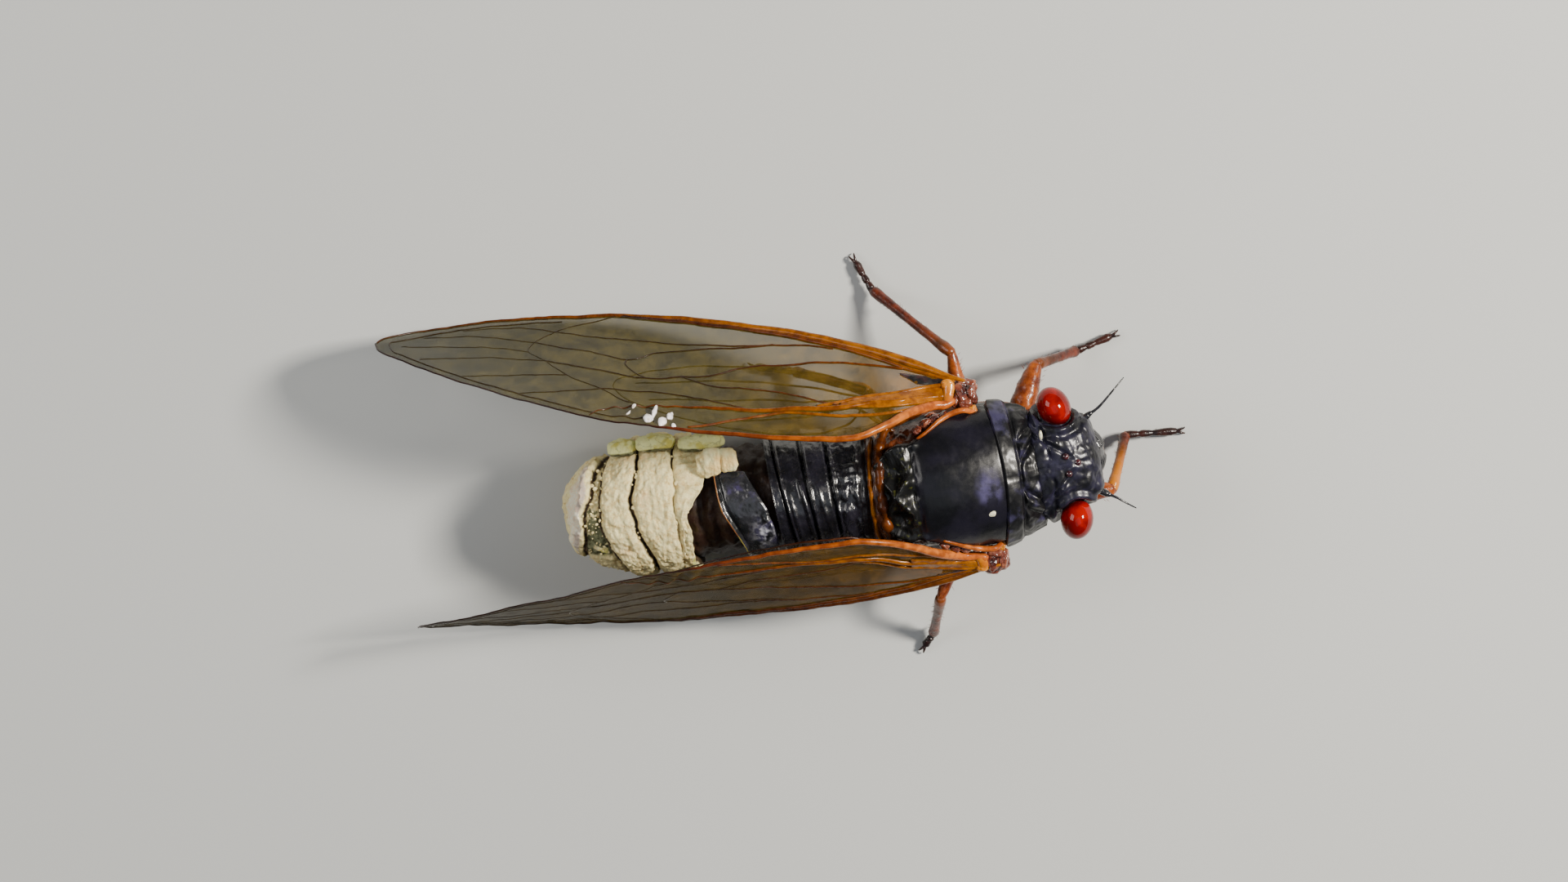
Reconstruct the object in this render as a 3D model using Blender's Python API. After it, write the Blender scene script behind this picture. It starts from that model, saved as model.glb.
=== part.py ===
"""Periodical cicada at rest, life size, its rear segments lost and a chalky plug of fungus in their place.

Lengths below are millimetres and angles are degrees. Every mesh becomes metres when its node is made.
+X runs to the head, +Y to the insect's left and +Z up. The feet and the plug rest at z = 0.
"""

import math

import bmesh
import bpy
import numpy as np
from mathutils import Matrix, Vector
from mathutils.geometry import delaunay_2d_cdt

MM = 0.001
GAP = 0.3
BOOLEAN_SOLVER = "MANIFOLD"
CENTRE = (-9.0, 0.8, 0.0)

# The head and thorax turn a little to the left about a point in the waist
YAW = 3.0
YAW_PIVOT_X = -4.2
YAW_START_X = -5.0
YAW_BLEND = 1.6

# The head turns a little further in the same direction about the neck
HEAD_YAW = 3.4
NECK_X = 4.9
NECK_START_X = 4.3
NECK_BLEND = 1.4

# Where one body part ends and the next begins, each with half a gap to either side
HEAD_REAR_X = 5.1
PRONOTUM_REAR_X = 2.9
MESOTHORAX_REAR_X = -3.7
METATHORAX_REAR_X = -4.9
ABDOMEN_REAR_X = -10.25
CORE_REAR_X = -14.6
PLUG_REAR_X = -22.0

# Trunk sections: place along the body, half width, top, widest level, bottom and squareness
TRUNK = (
    (5.2, 3.35, 9.35, 6.9, 4.3, 2.2),
    (4.0, 3.85, 9.95, 7.0, 4.0, 2.2),
    (3.0, 4.1, 10.35, 7.1, 3.8, 2.2),
    (1.6, 4.15, 10.8, 7.1, 3.5, 2.2),
    (-0.4, 4.15, 11.15, 7.0, 3.3, 2.2),
    (-2.2, 3.95, 11.0, 6.8, 3.2, 2.2),
    (-3.7, 3.65, 10.4, 6.3, 3.2, 2.1),
    (-5.0, 3.5, 9.9, 5.7, 3.1, 2.0),
    (-7.5, 3.5, 9.85, 5.3, 2.7, 2.0),
    (-10.2, 3.65, 9.6, 5.1, 2.2, 2.0),
    (-14.0, 3.9, 9.2, 4.8, 1.3, 2.05),
    (-16.0, 4.1, 8.9, 4.6, 0.6, 2.1),
    (-18.0, 4.1, 8.5, 4.4, -0.1, 2.15),
    (-20.0, 4.0, 8.2, 4.3, -0.1, 2.15),
    (-22.0, 3.9, 8.0, 4.2, 0.1, 2.15),
)

# Head sections in the same order, in front of the neck
HEAD = (
    (5.2, 3.2, 9.3, 7.0, 4.7, 2.25),
    (6.2, 3.3, 9.35, 7.1, 4.6, 2.25),
    (7.0, 2.95, 9.25, 7.2, 4.7, 2.25),
    (7.8, 2.6, 8.95, 7.2, 5.0, 2.25),
    (8.4, 2.1, 8.4, 7.2, 5.7, 2.25),
    (8.65, 1.3, 7.9, 7.1, 6.3, 2.25),
)
EYE_CENTRE = (6.7, 3.2, 8.0)
EYE_RADII = (0.92, 1.15, 1.15)
EYE_TURN = 16.0
CLYPEUS_CENTRE = (7.75, 0.0, 6.35)
CLYPEUS_RADII = (1.3, 1.6, 1.95)
CLYPEUS_RIDGES = 7
CLYPEUS_RIDGE_HEIGHT = 0.07
OCELLUS_RADIUS = 0.24
OCELLI = ((7.35, 0.0, 9.05), (6.75, 0.5, 9.22), (6.75, -0.5, 9.22))
ROSTRUM = ((6.9, 0.0, 3.85, 0.4), (5.2, 0.0, 3.35, 0.36), (2.6, 0.0, 2.75, 0.26), (1.9, 0.0, 2.6, 0.1))

# Feelers: a stout base joint in the head, then a thin whip, each given as place and radius
ANTENNAE = {
    "left": ((7.3, 2.3, 7.3, 0.36), (8.2, 3.1, 7.4, 0.3), (8.85, 3.5, 7.4, 0.25), (10.4, 4.95, 6.95, 0.09)),
    "right": (
        (7.9, -0.9, 7.2, 0.36), (8.9, -1.5, 7.25, 0.3), (9.4, -1.75, 7.3, 0.25), (10.45, -2.5, 7.0, 0.09),
    ),
}
FEELER_SEAT = 0.5

# Chest relief
COLLAR_LENGTH = 1.0
COLLAR_HEIGHT = 0.16
FURROW_DEPTH = 0.22
FURROW_WIDTH = 0.4
FURROW_Y = 1.1
FURROW_SLOPE = 0.75
CROSS_CENTRE_X = -2.75
CROSS_ARM_X = 0.95
CROSS_ARM_Y = 1.35
CROSS_WIDTH = 0.42
CROSS_HEIGHT = 0.42

# Black segments of the hind body, then the dark stump, the loose plate and the plug
TERGITE_EDGES = (-5.05, -6.33, -7.65, -9.1, -9.75)
TERGITE_SLANT = (0.0, 0.095, 0.126, 0.18, 0.117)
TERGITE_STEP = 0.1
TERGITE_PROFILE = ((0.0, 0.0), (0.14, 0.3), (0.9, 1.0))
CORE_SHRINK = 0.82
CORE_TOP_DROP = 1.2
PLATE_THICKNESS = 0.5
PLATE_ANGLES = (64.0, 172.0)
PLATE_SIDES = (-3.7, -2.4, -1.6, -0.65, -0.1, 0.8, 2.1)
PLATE_FRONT = (-9.9, -9.82, -9.9, -10.1, -10.22, -10.65, -11.3)
PLATE_REAR = (-11.3, -11.66, -12.0, -12.47, -12.75, -12.94, -13.05)
PLUG_GROOVES = (-15.4, -17.75, -19.6, -21.0)
PLUG_GROOVE_DEPTH = 0.3
PLUG_GROOVE_WIDTH = 0.22
PLUG_GROOVE_RINGS = (0.6, 0.25, 0.0, -0.25, -0.6)
PLUG_END_RINGS = (0.25, 0.08, 0.01)
PLUG_ROUND_X = -17.9
PLUG_END_POWER = 2.5
PLUG_LEAN = 0.15
PLUG_LEAN_RUN = 6.0
PLUG_LEFT_TRIM = 0.14
PLUG_TRIM_X = -17.6
PLUG_TRIM_RUN = 1.6
PLUG_SEAT = 0.25
PLUG_LOBES = ((-13.6, 3.68, 7.2, 1.35), (-16.2, 3.87, 6.8, 1.15), (-18.1, 3.72, 6.5, 0.85))
LOBE_RADII = (0.5, 0.9)
TAB_POINTS = ((-15.6, 2.5, 8.6), (-11.6, 2.85, 9.05))
TAB_RADII = (0.85, 0.36)
TAB_PROFILE = ((0.0, 1.0), (0.35, 1.0), (0.7, 0.9), (0.93, 0.8), (1.0, 0.55))

# Legs in the resting frame: hip inside the trunk, knee, ankle and toe, with a radius at each
LEGS = {
    "fore_left": ((4.0, 2.0, 4.6), (5.65, 5.7, 3.6), (8.15, 5.87, 0.62), (10.21, 6.46, 0.12)),
    "fore_right": ((4.4, -1.7, 4.6), (9.35, -1.9, 3.5), (10.5, 0.72, 0.62), (13.47, 0.59, 0.12)),
    "mid_left": ((1.4, 2.2, 4.2), (0.94, 7.0, 4.6), (-3.2, 10.54, 0.6), (-3.98, 12.15, 0.12)),
    "mid_right": ((1.4, -2.0, 4.2), (-1.0, -7.1, 4.2), (-1.6, -9.8, 0.6), (-2.15, -10.54, 0.12)),
    "hind_left": ((-1.9, 2.0, 3.9), (-4.0, 5.2, 3.7), (-8.2, 6.3, 0.6), (-10.3, 6.7, 0.12)),
    "hind_right": ((-1.9, -2.0, 3.9), (-4.0, -4.9, 3.7), (-8.0, -5.5, 0.6), (-10.1, -5.8, 0.12)),
}
LEG_SIDES = 8
FEMUR_RADIUS = {"fore": 0.72, "mid": 0.5, "hind": 0.5}
TIBIA_RADIUS = 0.33
TARSUS_RADIUS = 0.27
THIGH_PROFILE = ((0, 0.62), (0.3, 1.0), (0.6, 1.0), (0.85, 0.72), (1, 0.66))
SHIN_PROFILE = ((0, 1.15), (0.2, 1.1), (0.5, 0.95), (0.85, 1.0), (1, 0.95))
FOOT_PROFILE = ((0, 1.1), (0.3, 1.0), (0.75, 1.05), (0.95, 0.9), (1, 0.45))
CLAW_LENGTH = 0.6
CLAW_RADIUS = 0.12
CLAW_SPREAD = 28.0
CLAW_SINK = 0.3
CLAW_CLEAR = 0.04
CLAW_DIP = 0.12
SPINE_RADIUS = 0.15
SPINE_TIP_RADIUS = 0.03
SPINE_TURN = 0.45
SPINE_LEAN = 0.35
SPINE_SINK = 0.6
THIGH_SPINES = {"fore": ((0.5, 0.6), (0.68, 0.7), (0.84, 0.55)), "mid": (), "hind": ()}
SHIN_SPINES = {
    "fore": ((0.9, 0.4),),
    "mid": ((0.7, 0.4), (0.92, 0.45)),
    "hind": ((0.35, 0.45), (0.55, 0.5), (0.75, 0.5), (0.93, 0.5)),
}

# Forewing in its own plane: u from root to tip, v from the front edge to the inner edge
WING_LENGTH = 33.0
WING_FRONT_EDGE = (
    (0, 0), (2, -0.5), (4, -0.95), (8, -1.5), (12, -1.75), (16, -1.7), (20, -1.35), (24, -0.5),
    (27.5, 0.8), (30.5, 2.4), (32.4, 3.9), (33, 4.9),
)
WING_INNER_EDGE = (
    (33, 4.9), (32.6, 6.0), (31, 7.3), (28.5, 8.6), (25.5, 9.6), (22.5, 10.2), (19.5, 10.4),
    (17.2, 10.1), (14.5, 9.5), (11, 8.75), (7, 7.6), (5, 6.75), (3.9, 5.9), (3.0, 5.05), (2.2, 4.15),
    (1.3, 3.4), (0.4, 2.8), (0, 2.6),
)
WING_VEINS = {
    "subcosta": (
        (-0.9, 0.5), (0.6, 0.32), (1.9, 0.12), (4.3, -0.45), (6.9, -0.7), (9.4, -0.92), (12, -1.0),
        (16, -1.0), (18.6, -1.5),
    ),
    "radius": ((6, -0.62), (8, -0.5), (11, 0.2), (14, 0.8), (18, 1.1), (22.4, 0.9)),
    "radius_branch": (
        (9.5, -0.2), (11.5, 0.5), (13.7, 1.2), (16.4, 2.15), (18.1, 3.25), (20.5, 2.95), (23.6, 2.5),
    ),
    "media": (
        (1.9, 0.1), (2.2, 0.24), (4.4, 0.4), (7, 0.9), (9.5, 1.8), (11.5, 2.6), (12.9, 3.5), (15, 4.4),
        (17, 5.0), (19.5, 4.95), (22.9, 4.7),
    ),
    "media_branch": ((5.9, 4.5), (8.6, 4.25), (10.9, 4.45), (12.7, 4.7), (15, 4.4)),
    "cross_mid": ((18.1, 3.25), (18.2, 3.8), (17.6, 4.6), (17, 5.0)),
    "cubitus": (
        (-0.2, 1.9), (1.4, 2.55), (2.8, 3.2), (4, 3.65), (5.9, 4.7), (8.4, 5.5), (10.9, 6.4),
        (13.9, 7.05), (17, 7.95), (19.4, 9.1), (20.2, 10.1),
    ),
    "cubitus_branch": ((10.9, 6.4), (14, 6.2), (17, 6.4), (19.6, 7.0)),
    "bar": ((-0.4, 0.9), (0.85, 1.5), (2.3, 2.25), (4.2, 3.15), (5.9, 4.2), (7.1, 4.85)),
    "claval": (
        (1.2, 3.2), (3.4, 4.4), (4.7, 4.95), (5.9, 5.35), (7.4, 5.65), (9.05, 6.0), (10.95, 7.05),
        (12.2, 7.8), (13.5, 8.6), (14.6, 9.2),
    ),
    "cross_front": ((18.6, -1.5), (21, -0.2), (22.4, 0.9), (23.6, 2.5), (23.9, 3.7), (22.9, 4.7)),
    "cross_rear": ((22.9, 4.7), (21.6, 6.0), (19.6, 7.0), (18.2, 7.8), (17.2, 8.0)),
    "cell_1": ((22.4, 0.9), (25, 0.9), (27.9, 1.9)),
    "cell_2": ((23.6, 2.5), (26.5, 2.5), (30.2, 3.2)),
    "cell_3": ((23.9, 3.7), (27, 3.9), (31.4, 4.9)),
    "cell_4": ((22.9, 4.7), (26.5, 5.3), (30.2, 6.6)),
    "cell_5": ((21.6, 6.0), (24.5, 6.9), (27.6, 8.1)),
    "cell_6": ((19.6, 7.0), (22, 8.0), (24.2, 9.1)),
}
AMBIENT_INSET = 0.65
AMBIENT_FRONT_U = 22.0
AMBIENT_REAR_U = 16.0
MEMBRANE_HALF = 0.25
VEIN_RIDGE = 0.2
VEIN_FOOT = 0.42
WING_STEP = 1.5
WING_TILT_AT = 16.0
WING_TILT = 65.5
WING_TWIST_PER_MM = 0.722
WING_DROOP = 14.0
WING_BOW = 0.59
WING_ROOTS = {"left": (0.03, 6.41, 7.8), "right": (1.02, -5.08, 7.8)}
WING_ROOT_SINK = 1.1
WING_ROOT_SHIFT = {"left": 0.0, "right": -0.7}
WING_SINK_LEAN = (0.03, 0.148)
WING_SWEEP = {"left": 9.62, "right": 3.14}
HINGE_START = {"left": (1.1, 3.2, 8.2), "right": (1.9, -2.8, 8.2)}
HINGE_MIDDLE = {"left": (1.3, 4.8, 7.9), "right": (2.2, -4.4, 7.9)}
HINGE_RADII = (0.95, 0.8, 0.5)
HINGE_PLACE = (0.9, 0.8)

# Hind wing, folded against the inner face of the forewing
HINDWING_OFFSET = 0.9
HINDWING_OUTLINE = (
    (4.2, 1.4), (6.5, 0.8), (10, 0.9), (14, 1.6), (17, 2.9), (18.8, 4.4), (18.5, 5.7), (16.5, 6.8),
    (13, 7.2), (9, 6.8), (6.4, 5.7), (4.8, 3.9),
)
HINDWING_VEINS = {
    "front": ((4.6, 2.2), (8, 2.1), (12.5, 2.7), (17.6, 4.3)),
    "middle": ((4.7, 2.6), (8, 3.5), (12.5, 4.6), (16.8, 5.8)),
    "rear": ((4.9, 3.1), (8, 4.9), (11.5, 6.3)),
}
HINDWING_RIDGE = 0.1
HINDWING_HINGE = {"left": (-2.2, 2.8, 7.6), "right": (-1.6, -2.5, 7.6)}
HINDWING_HINGE_PLACE = (5.4, 2.7)
HINDWING_HINGE_RADII = (0.5, 0.42, 0.3)

SHELL_BLACK = (0.012, 0.012, 0.016)
EYE_RED = (0.55, 0.015, 0.01)
WING_AMBER = (0.42, 0.22, 0.06)
HIND_AMBER = (0.36, 0.25, 0.1)
LEG_RUST = (0.32, 0.09, 0.025)
LEG_DARK = (0.12, 0.03, 0.015)
TOE_DARK = (0.035, 0.012, 0.01)
EDGE_ORANGE = (0.4, 0.15, 0.03)
STUMP_BROWN = (0.05, 0.02, 0.01)
PLUG_CREAM = (0.7, 0.62, 0.42)


def smoothstep(t):
    """0 below 0, 1 above 1 and smooth between."""
    t = min(max(t, 0.0), 1.0)
    return t * t * (3.0 - 2.0 * t)


def curve_through(points, steps):
    """Points on a smooth curve through the given ones, with so many steps to each stretch."""
    p = np.array(points, float)
    ends = np.vstack([2 * p[0] - p[1], p, 2 * p[-1] - p[-2]])
    out = []
    for i in range(len(p) - 1):
        a, b, c, d = ends[i : i + 4]
        for t in np.arange(steps) / steps:
            square, cube = 2 * a - 5 * b + 4 * c - d, 3 * b - a - 3 * c + d
            out.append(0.5 * (2 * b + (c - a) * t + square * t**2 + cube * t**3))
    out.append(p[-1])
    return np.array(out)


def spaced(points, step):
    """A smooth curve through the points, cut into even pieces about one step long."""
    fine = curve_through(points, 12)
    run = np.concatenate([[0], np.cumsum(np.linalg.norm(np.diff(fine, axis=0), axis=1))])
    count = max(2, int(round(run[-1] / step)) + 1)
    at = np.linspace(0, run[-1], count)
    return np.stack([np.interp(at, run, fine[:, k]) for k in range(fine.shape[1])], axis=1)


def posed(point):
    """Turns the head about the neck, and the head and thorax about the waist, as they are held."""
    x, y, z = point
    for turn, pivot, start, blend in (
        (HEAD_YAW, NECK_X, NECK_START_X, NECK_BLEND),
        (YAW, YAW_PIVOT_X, YAW_START_X, YAW_BLEND),
    ):
        angle = math.radians(turn) * smoothstep((x - start) / blend)
        dx = x - pivot
        c, s = math.cos(angle), math.sin(angle)
        x, y = pivot + dx * c - y * s, dx * s + y * c
    return (x, y, z)


def section_at(stations, x):
    """Half width, top, widest level, bottom and squareness at a place along the body."""
    fine = curve_through(sorted(stations), 8)
    return [float(np.interp(x, fine[:, 0], fine[:, k])) for k in range(1, 6)]


def section_ring(stations, x, count, grow=0.0):
    """One closed ring round the body, wide at its widest level and rounded above and below."""
    half, top, wide, bottom, square = section_at(stations, x)
    power = 2.0 / square
    ring = []
    for k in range(count):
        a = 2 * math.pi * k / count
        c, s = math.cos(a), math.sin(a)
        y = (half + grow) * math.copysign(abs(c) ** power, c)
        reach = (top - wide if s > 0 else wide - bottom) + grow
        ring.append((x, y, wide + reach * math.copysign(abs(s) ** power, s)))
    return ring


def make_object(name, points, faces):
    """A mesh object in millimetres, its faces pointing out."""
    mesh = bpy.data.meshes.new(name)
    mesh.from_pydata([tuple(p) for p in points], [], [tuple(f) for f in faces])
    bm = bmesh.new()
    bm.from_mesh(mesh)
    bmesh.ops.remove_doubles(bm, verts=bm.verts, dist=1e-5)
    bmesh.ops.recalc_face_normals(bm, faces=bm.faces)
    bm.to_mesh(mesh)
    bm.free()
    obj = bpy.data.objects.new(name, mesh)
    bpy.context.scene.collection.objects.link(obj)
    return obj


def loft(name, rings):
    """A closed body through a row of rings, each end closed by a fan to its middle."""
    count = len(rings[0])
    points = [p for ring in rings for p in ring]
    faces = []
    for i in range(len(rings) - 1):
        for k in range(count):
            a, b = i * count + k, i * count + (k + 1) % count
            faces.append((a, b, b + count, a + count))
    for i in (0, len(rings) - 1):
        points.append(tuple(np.mean(np.array(rings[i]), axis=0)))
        for k in range(count):
            faces.append((i * count + k, i * count + (k + 1) % count, len(points) - 1))
    return make_object(name, points, faces)


def frame_across(direction):
    """Two unit directions across a given one, the second as level as it can be."""
    d = Vector(direction).normalized()
    level = Vector((0, 0, 1)).cross(d)
    if level.length < 1e-4:
        level = Vector((0, 1, 0))
    level.normalize()
    return d.cross(level).normalized(), level


def tube(name, stations, sides):
    """A tapered tube through stations of place and radius, its rings square to its run."""
    places = [Vector(s[:3]) for s in stations]
    rings = []
    for i, place in enumerate(places):
        run = places[min(i + 1, len(places) - 1)] - places[max(i - 1, 0)]
        up, level = frame_across(run)
        radius = stations[i][3]
        rings.append(
            [
                tuple(place + radius * (math.cos(a) * level + math.sin(a) * up))
                for a in (2 * math.pi * k / sides for k in range(sides))
            ]
        )
    return loft(name, rings)


def ellipsoid(name, centre, radii, around=16, rows=10, grow=0.0, relief=None):
    """A rounded body whose pole line is upright, its relief a share of its radii at each height."""
    points = []
    for i in range(1, rows):
        tilt = math.pi * i / rows
        for k in range(around):
            a = 2 * math.pi * k / around
            unit = (math.sin(tilt) * math.cos(a), math.sin(tilt) * math.sin(a), math.cos(tilt))
            swell = 1.0 if relief is None else 1.0 + relief(unit)
            points.append([c + (r + grow) * n * swell for c, r, n in zip(centre, radii, unit)])
    faces = []
    for i in range(rows - 2):
        for k in range(around):
            a, b = i * around + k, i * around + (k + 1) % around
            faces.append((a, b, b + around, a + around))
    for end, first in ((1, 0), (-1, (rows - 2) * around)):
        points.append([centre[0], centre[1], centre[2] + end * (radii[2] + grow)])
        for k in range(around):
            faces.append((first + k, first + (k + 1) % around, len(points) - 1))
    return make_object(name, points, faces)


def combine(target, tools, operation):
    """Applies one Boolean with a collection of closed bodies, which are then removed."""
    group = bpy.data.collections.new("tools")
    for tool in tools:
        group.objects.link(tool)
    modifier = target.modifiers.new("combine", "BOOLEAN")
    modifier.operand_type = "COLLECTION"
    modifier.collection = group
    modifier.operation = operation
    modifier.solver = BOOLEAN_SOLVER
    bpy.context.view_layer.update()
    shown = target.evaluated_get(bpy.context.evaluated_depsgraph_get())
    target.data = bpy.data.meshes.new_from_object(shown)
    target.modifiers.clear()
    for tool in tools:
        bpy.data.objects.remove(tool)
    bpy.data.collections.remove(group)
    keep_largest(target)
    return target


def keep_largest(obj):
    """Leaves only the largest closed surface of a mesh."""
    bm = bmesh.new()
    bm.from_mesh(obj.data)
    bmesh.ops.dissolve_degenerate(bm, edges=bm.edges, dist=1e-4)
    left = set(bm.faces)
    islands = []
    while left:
        island, border = set(), [left.pop()]
        while border:
            face = border.pop()
            island.add(face)
            for edge in face.edges:
                for near in edge.link_faces:
                    if near in left:
                        left.remove(near)
                        border.append(near)
        islands.append(island)
    islands.sort(key=lambda faces: sum(f.calc_area() for f in faces))
    for island in islands[:-1]:
        bmesh.ops.delete(bm, geom=list(island), context="FACES")
    bm.to_mesh(obj.data)
    bm.free()


def move_points(obj, move):
    """Puts every point of a mesh where a function says."""
    for vertex in obj.data.vertices:
        vertex.co = move(tuple(vertex.co))
    return obj


def material(name, colour, roughness, alpha=1.0):
    """The surface of one sub-part."""
    made = bpy.data.materials.new(name)
    made.use_nodes = True
    shader = made.node_tree.nodes["Principled BSDF"]
    shader.inputs["Base Color"].default_value = (*colour, 1.0)
    shader.inputs["Roughness"].default_value = roughness
    shader.inputs["Metallic"].default_value = 0.0
    shader.inputs["Alpha"].default_value = alpha
    return made


def finish(obj, name, surface):
    """Makes a node of a body: its name, its surface, real size and smooth shading."""
    obj.name = name
    obj.data.name = name
    centre = Vector(CENTRE)
    for vertex in obj.data.vertices:
        vertex.co = (Vector(vertex.co) - centre) * MM
    obj.data.materials.clear()
    obj.data.materials.append(surface)
    obj.data.shade_smooth()
    obj.data.set_sharp_from_angle(angle=math.radians(50))
    return obj


def trunk_piece(name, front, rear, rings, count, relief=None, grow=0.0, stations=TRUNK):
    """A length of the trunk between two places, with relief that lifts its surface."""
    front, rear = front + grow, rear - grow
    body = []
    for i in range(rings):
        x = front + (rear - front) * i / (rings - 1)
        ring = section_ring(stations, x, count, grow)
        if relief:
            middle = section_at(stations, x)[2]
            ring = [lifted(p, middle, relief(p)) for p in ring]
        body.append([posed(p) for p in ring])
    return loft(name, body)


def lifted(point, middle, amount):
    """A point moved away from the body's middle line."""
    x, y, z = point
    out = Vector((y, z - middle)).normalized() * amount
    return (x, y + out[0], z + out[1])


def pronotum_relief(point):
    """A raised collar behind, a low middle ridge and two slanting furrows on the back."""
    x, y, z = point
    if z < 7.5:
        return 0.0
    collar = COLLAR_HEIGHT * smoothstep((PRONOTUM_REAR_X + COLLAR_LENGTH - x) / 0.3 + 0.5)
    ahead = x - PRONOTUM_REAR_X - COLLAR_LENGTH
    away = (abs(y) - FURROW_Y - FURROW_SLOPE * ahead) / FURROW_WIDTH
    return collar - FURROW_DEPTH * math.exp(-(away**2)) * smoothstep(ahead / FURROW_WIDTH)


def mesothorax_relief(point):
    """The raised cross at the rear of the back."""
    x, y, z = point
    if z < 8.5:
        return 0.0
    dx = abs(x - CROSS_CENTRE_X) / CROSS_ARM_X
    arm = abs(abs(y) / CROSS_ARM_Y - dx) * CROSS_ARM_Y / math.sqrt(2)
    reach = smoothstep(2.2 - dx * 1.1 - abs(y) / CROSS_ARM_Y)
    return CROSS_HEIGHT * math.exp(-((arm / CROSS_WIDTH) ** 2)) * reach


def head_body(grow=0.0):
    """The head without its eyes and face, to its front."""
    front, rear = HEAD[-1][0] + grow, HEAD_REAR_X + GAP / 2 - grow
    places = [rear + (front - rear) * math.sin(math.pi / 2 * i / 9) for i in range(10)]
    return loft("head", [[posed(p) for p in section_ring(HEAD, x, 28, grow)] for x in places])


def eye_shape(side, grow=0.0):
    """One eye, a short upright egg turned a little towards the face."""
    centre = Vector((EYE_CENTRE[0], side * EYE_CENTRE[1], EYE_CENTRE[2]))
    turn = Matrix.Rotation(math.radians(side * EYE_TURN), 3, "Z")
    eye = ellipsoid("eye", (0.0, 0.0, 0.0), EYE_RADII, 16, 10, grow)
    return move_points(eye, lambda point: posed(centre + turn @ Vector(point)))


def clypeus_shape(grow=0.0):
    """The swollen face, with ridges across it."""

    def ridges(unit):
        height = CLYPEUS_RIDGE_HEIGHT / CLYPEUS_RADII[0] * max(unit[0], 0.0)
        return height * math.cos(math.pi * CLYPEUS_RIDGES * unit[2])

    shape = ellipsoid("clypeus", CLYPEUS_CENTRE, CLYPEUS_RADII, 16, 18, grow, None if grow else ridges)
    return move_points(shape, posed)


def build_head(surfaces):
    """Head, face, beak, eyes and feelers."""
    head = head_body()
    cutters = [eye_shape(1, GAP), eye_shape(-1, GAP), clypeus_shape(GAP)]
    combine(head, cutters, "DIFFERENCE")
    dots = [move_points(ellipsoid("dot", place, (OCELLUS_RADIUS,) * 3, 8, 6), posed) for place in OCELLI]
    combine(head, dots, "UNION")
    finish(head, "head", surfaces["shell"])
    finish(clypeus_shape(), "clypeus", surfaces["shell"])
    finish(move_points(tube("rostrum", ROSTRUM, 8), posed), "rostrum", surfaces["dark"])
    for side, name in ((1, "left"), (-1, "right")):
        finish(eye_shape(side), "eye_" + name, surfaces["eye"])
        feeler = tube("antenna", ANTENNAE[name], 8)
        combine(feeler, [head_body(FEELER_SEAT), clypeus_shape(GAP)], "DIFFERENCE")
        finish(feeler, "antenna_" + name, surfaces["shell"])


def build_trunk(surfaces):
    """The three parts of the thorax and the black hind body."""
    half = GAP / 2
    pronotum = trunk_piece("pronotum", HEAD_REAR_X - half, PRONOTUM_REAR_X + half, 10, 36, pronotum_relief)
    finish(pronotum, "pronotum", surfaces["shell"])
    back = trunk_piece("back", PRONOTUM_REAR_X - half, MESOTHORAX_REAR_X + half, 15, 40, mesothorax_relief)
    finish(back, "mesothorax", surfaces["shell"])
    waist = trunk_piece("waist", MESOTHORAX_REAR_X - half, METATHORAX_REAR_X + half, 4, 32)
    finish(waist, "metathorax", surfaces["edge"])
    rings = []
    for i in range(len(TERGITE_EDGES) - 1):
        for share, lift in TERGITE_PROFILE:
            rings.append(tergite_ring(i, share, lift * TERGITE_STEP))
    rings.append(tergite_ring(len(TERGITE_EDGES) - 2, 1.0, 0.0))
    finish(loft("abdomen", rings), "abdomen", surfaces["shell"])


def tergite_ring(number, share, lift):
    """One slanting ring of the hind body, a share of the way along one of its segments."""
    front, rear = TERGITE_EDGES[number], TERGITE_EDGES[number + 1]
    slant = TERGITE_SLANT[number] + (TERGITE_SLANT[number + 1] - TERGITE_SLANT[number]) * share
    x = front + (rear - front) * share
    middle = section_at(TRUNK, x)[2]
    ring = [lifted(p, middle, lift) for p in section_ring(TRUNK, x, 32)]
    return [posed((px - slant * y, y, z)) for px, y, z in ring]


def core_ring(x, count):
    """A ring of the dark stump, smaller than the hind body and lower on its back."""
    half, top, wide, bottom, _ = section_at(TRUNK, x)
    reach = (half - CORE_SHRINK, top - CORE_TOP_DROP - wide, wide - bottom - CORE_SHRINK)
    ring = []
    for k in range(count):
        a = 2 * math.pi * k / count
        z = reach[1] if math.sin(a) > 0 else reach[2]
        ring.append((x, reach[0] * math.cos(a), wide + z * math.sin(a)))
    return ring


def build_stump(surfaces):
    """The dark stump where segments are lost, and the loose black plate over it."""
    front, rear = ABDOMEN_REAR_X - GAP / 2, CORE_REAR_X + GAP / 2
    rings = [core_ring(front + (rear - front) * i / 5, 24) for i in range(6)]
    finish(loft("stump", rings), "abdomen_stump", surfaces["stump"])
    across, along = 12, 4
    rows = []
    for i in range(across + 1):
        share = i / across
        a = math.radians(PLATE_ANGLES[0] + (PLATE_ANGLES[1] - PLATE_ANGLES[0]) * share)
        side = section_at(TRUNK, ABDOMEN_REAR_X)[0] * math.cos(a)
        x0, x1 = (np.interp(side, PLATE_SIDES, edge) for edge in (PLATE_FRONT, PLATE_REAR))
        outer, inner = [], []
        for j in range(along + 1):
            x = x0 + (x1 - x0) * j / along
            half, top, wide, _, _ = section_at(TRUNK, x)
            for lift, line in ((0.0, outer), (-PLATE_THICKNESS, inner)):
                line.append((x, (half + lift) * math.cos(a), wide + (top - wide + lift) * math.sin(a)))
        rows.append(outer + inner[::-1])
    finish(loft("plate", rows), "abdomen_plate", surfaces["shell"])


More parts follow.
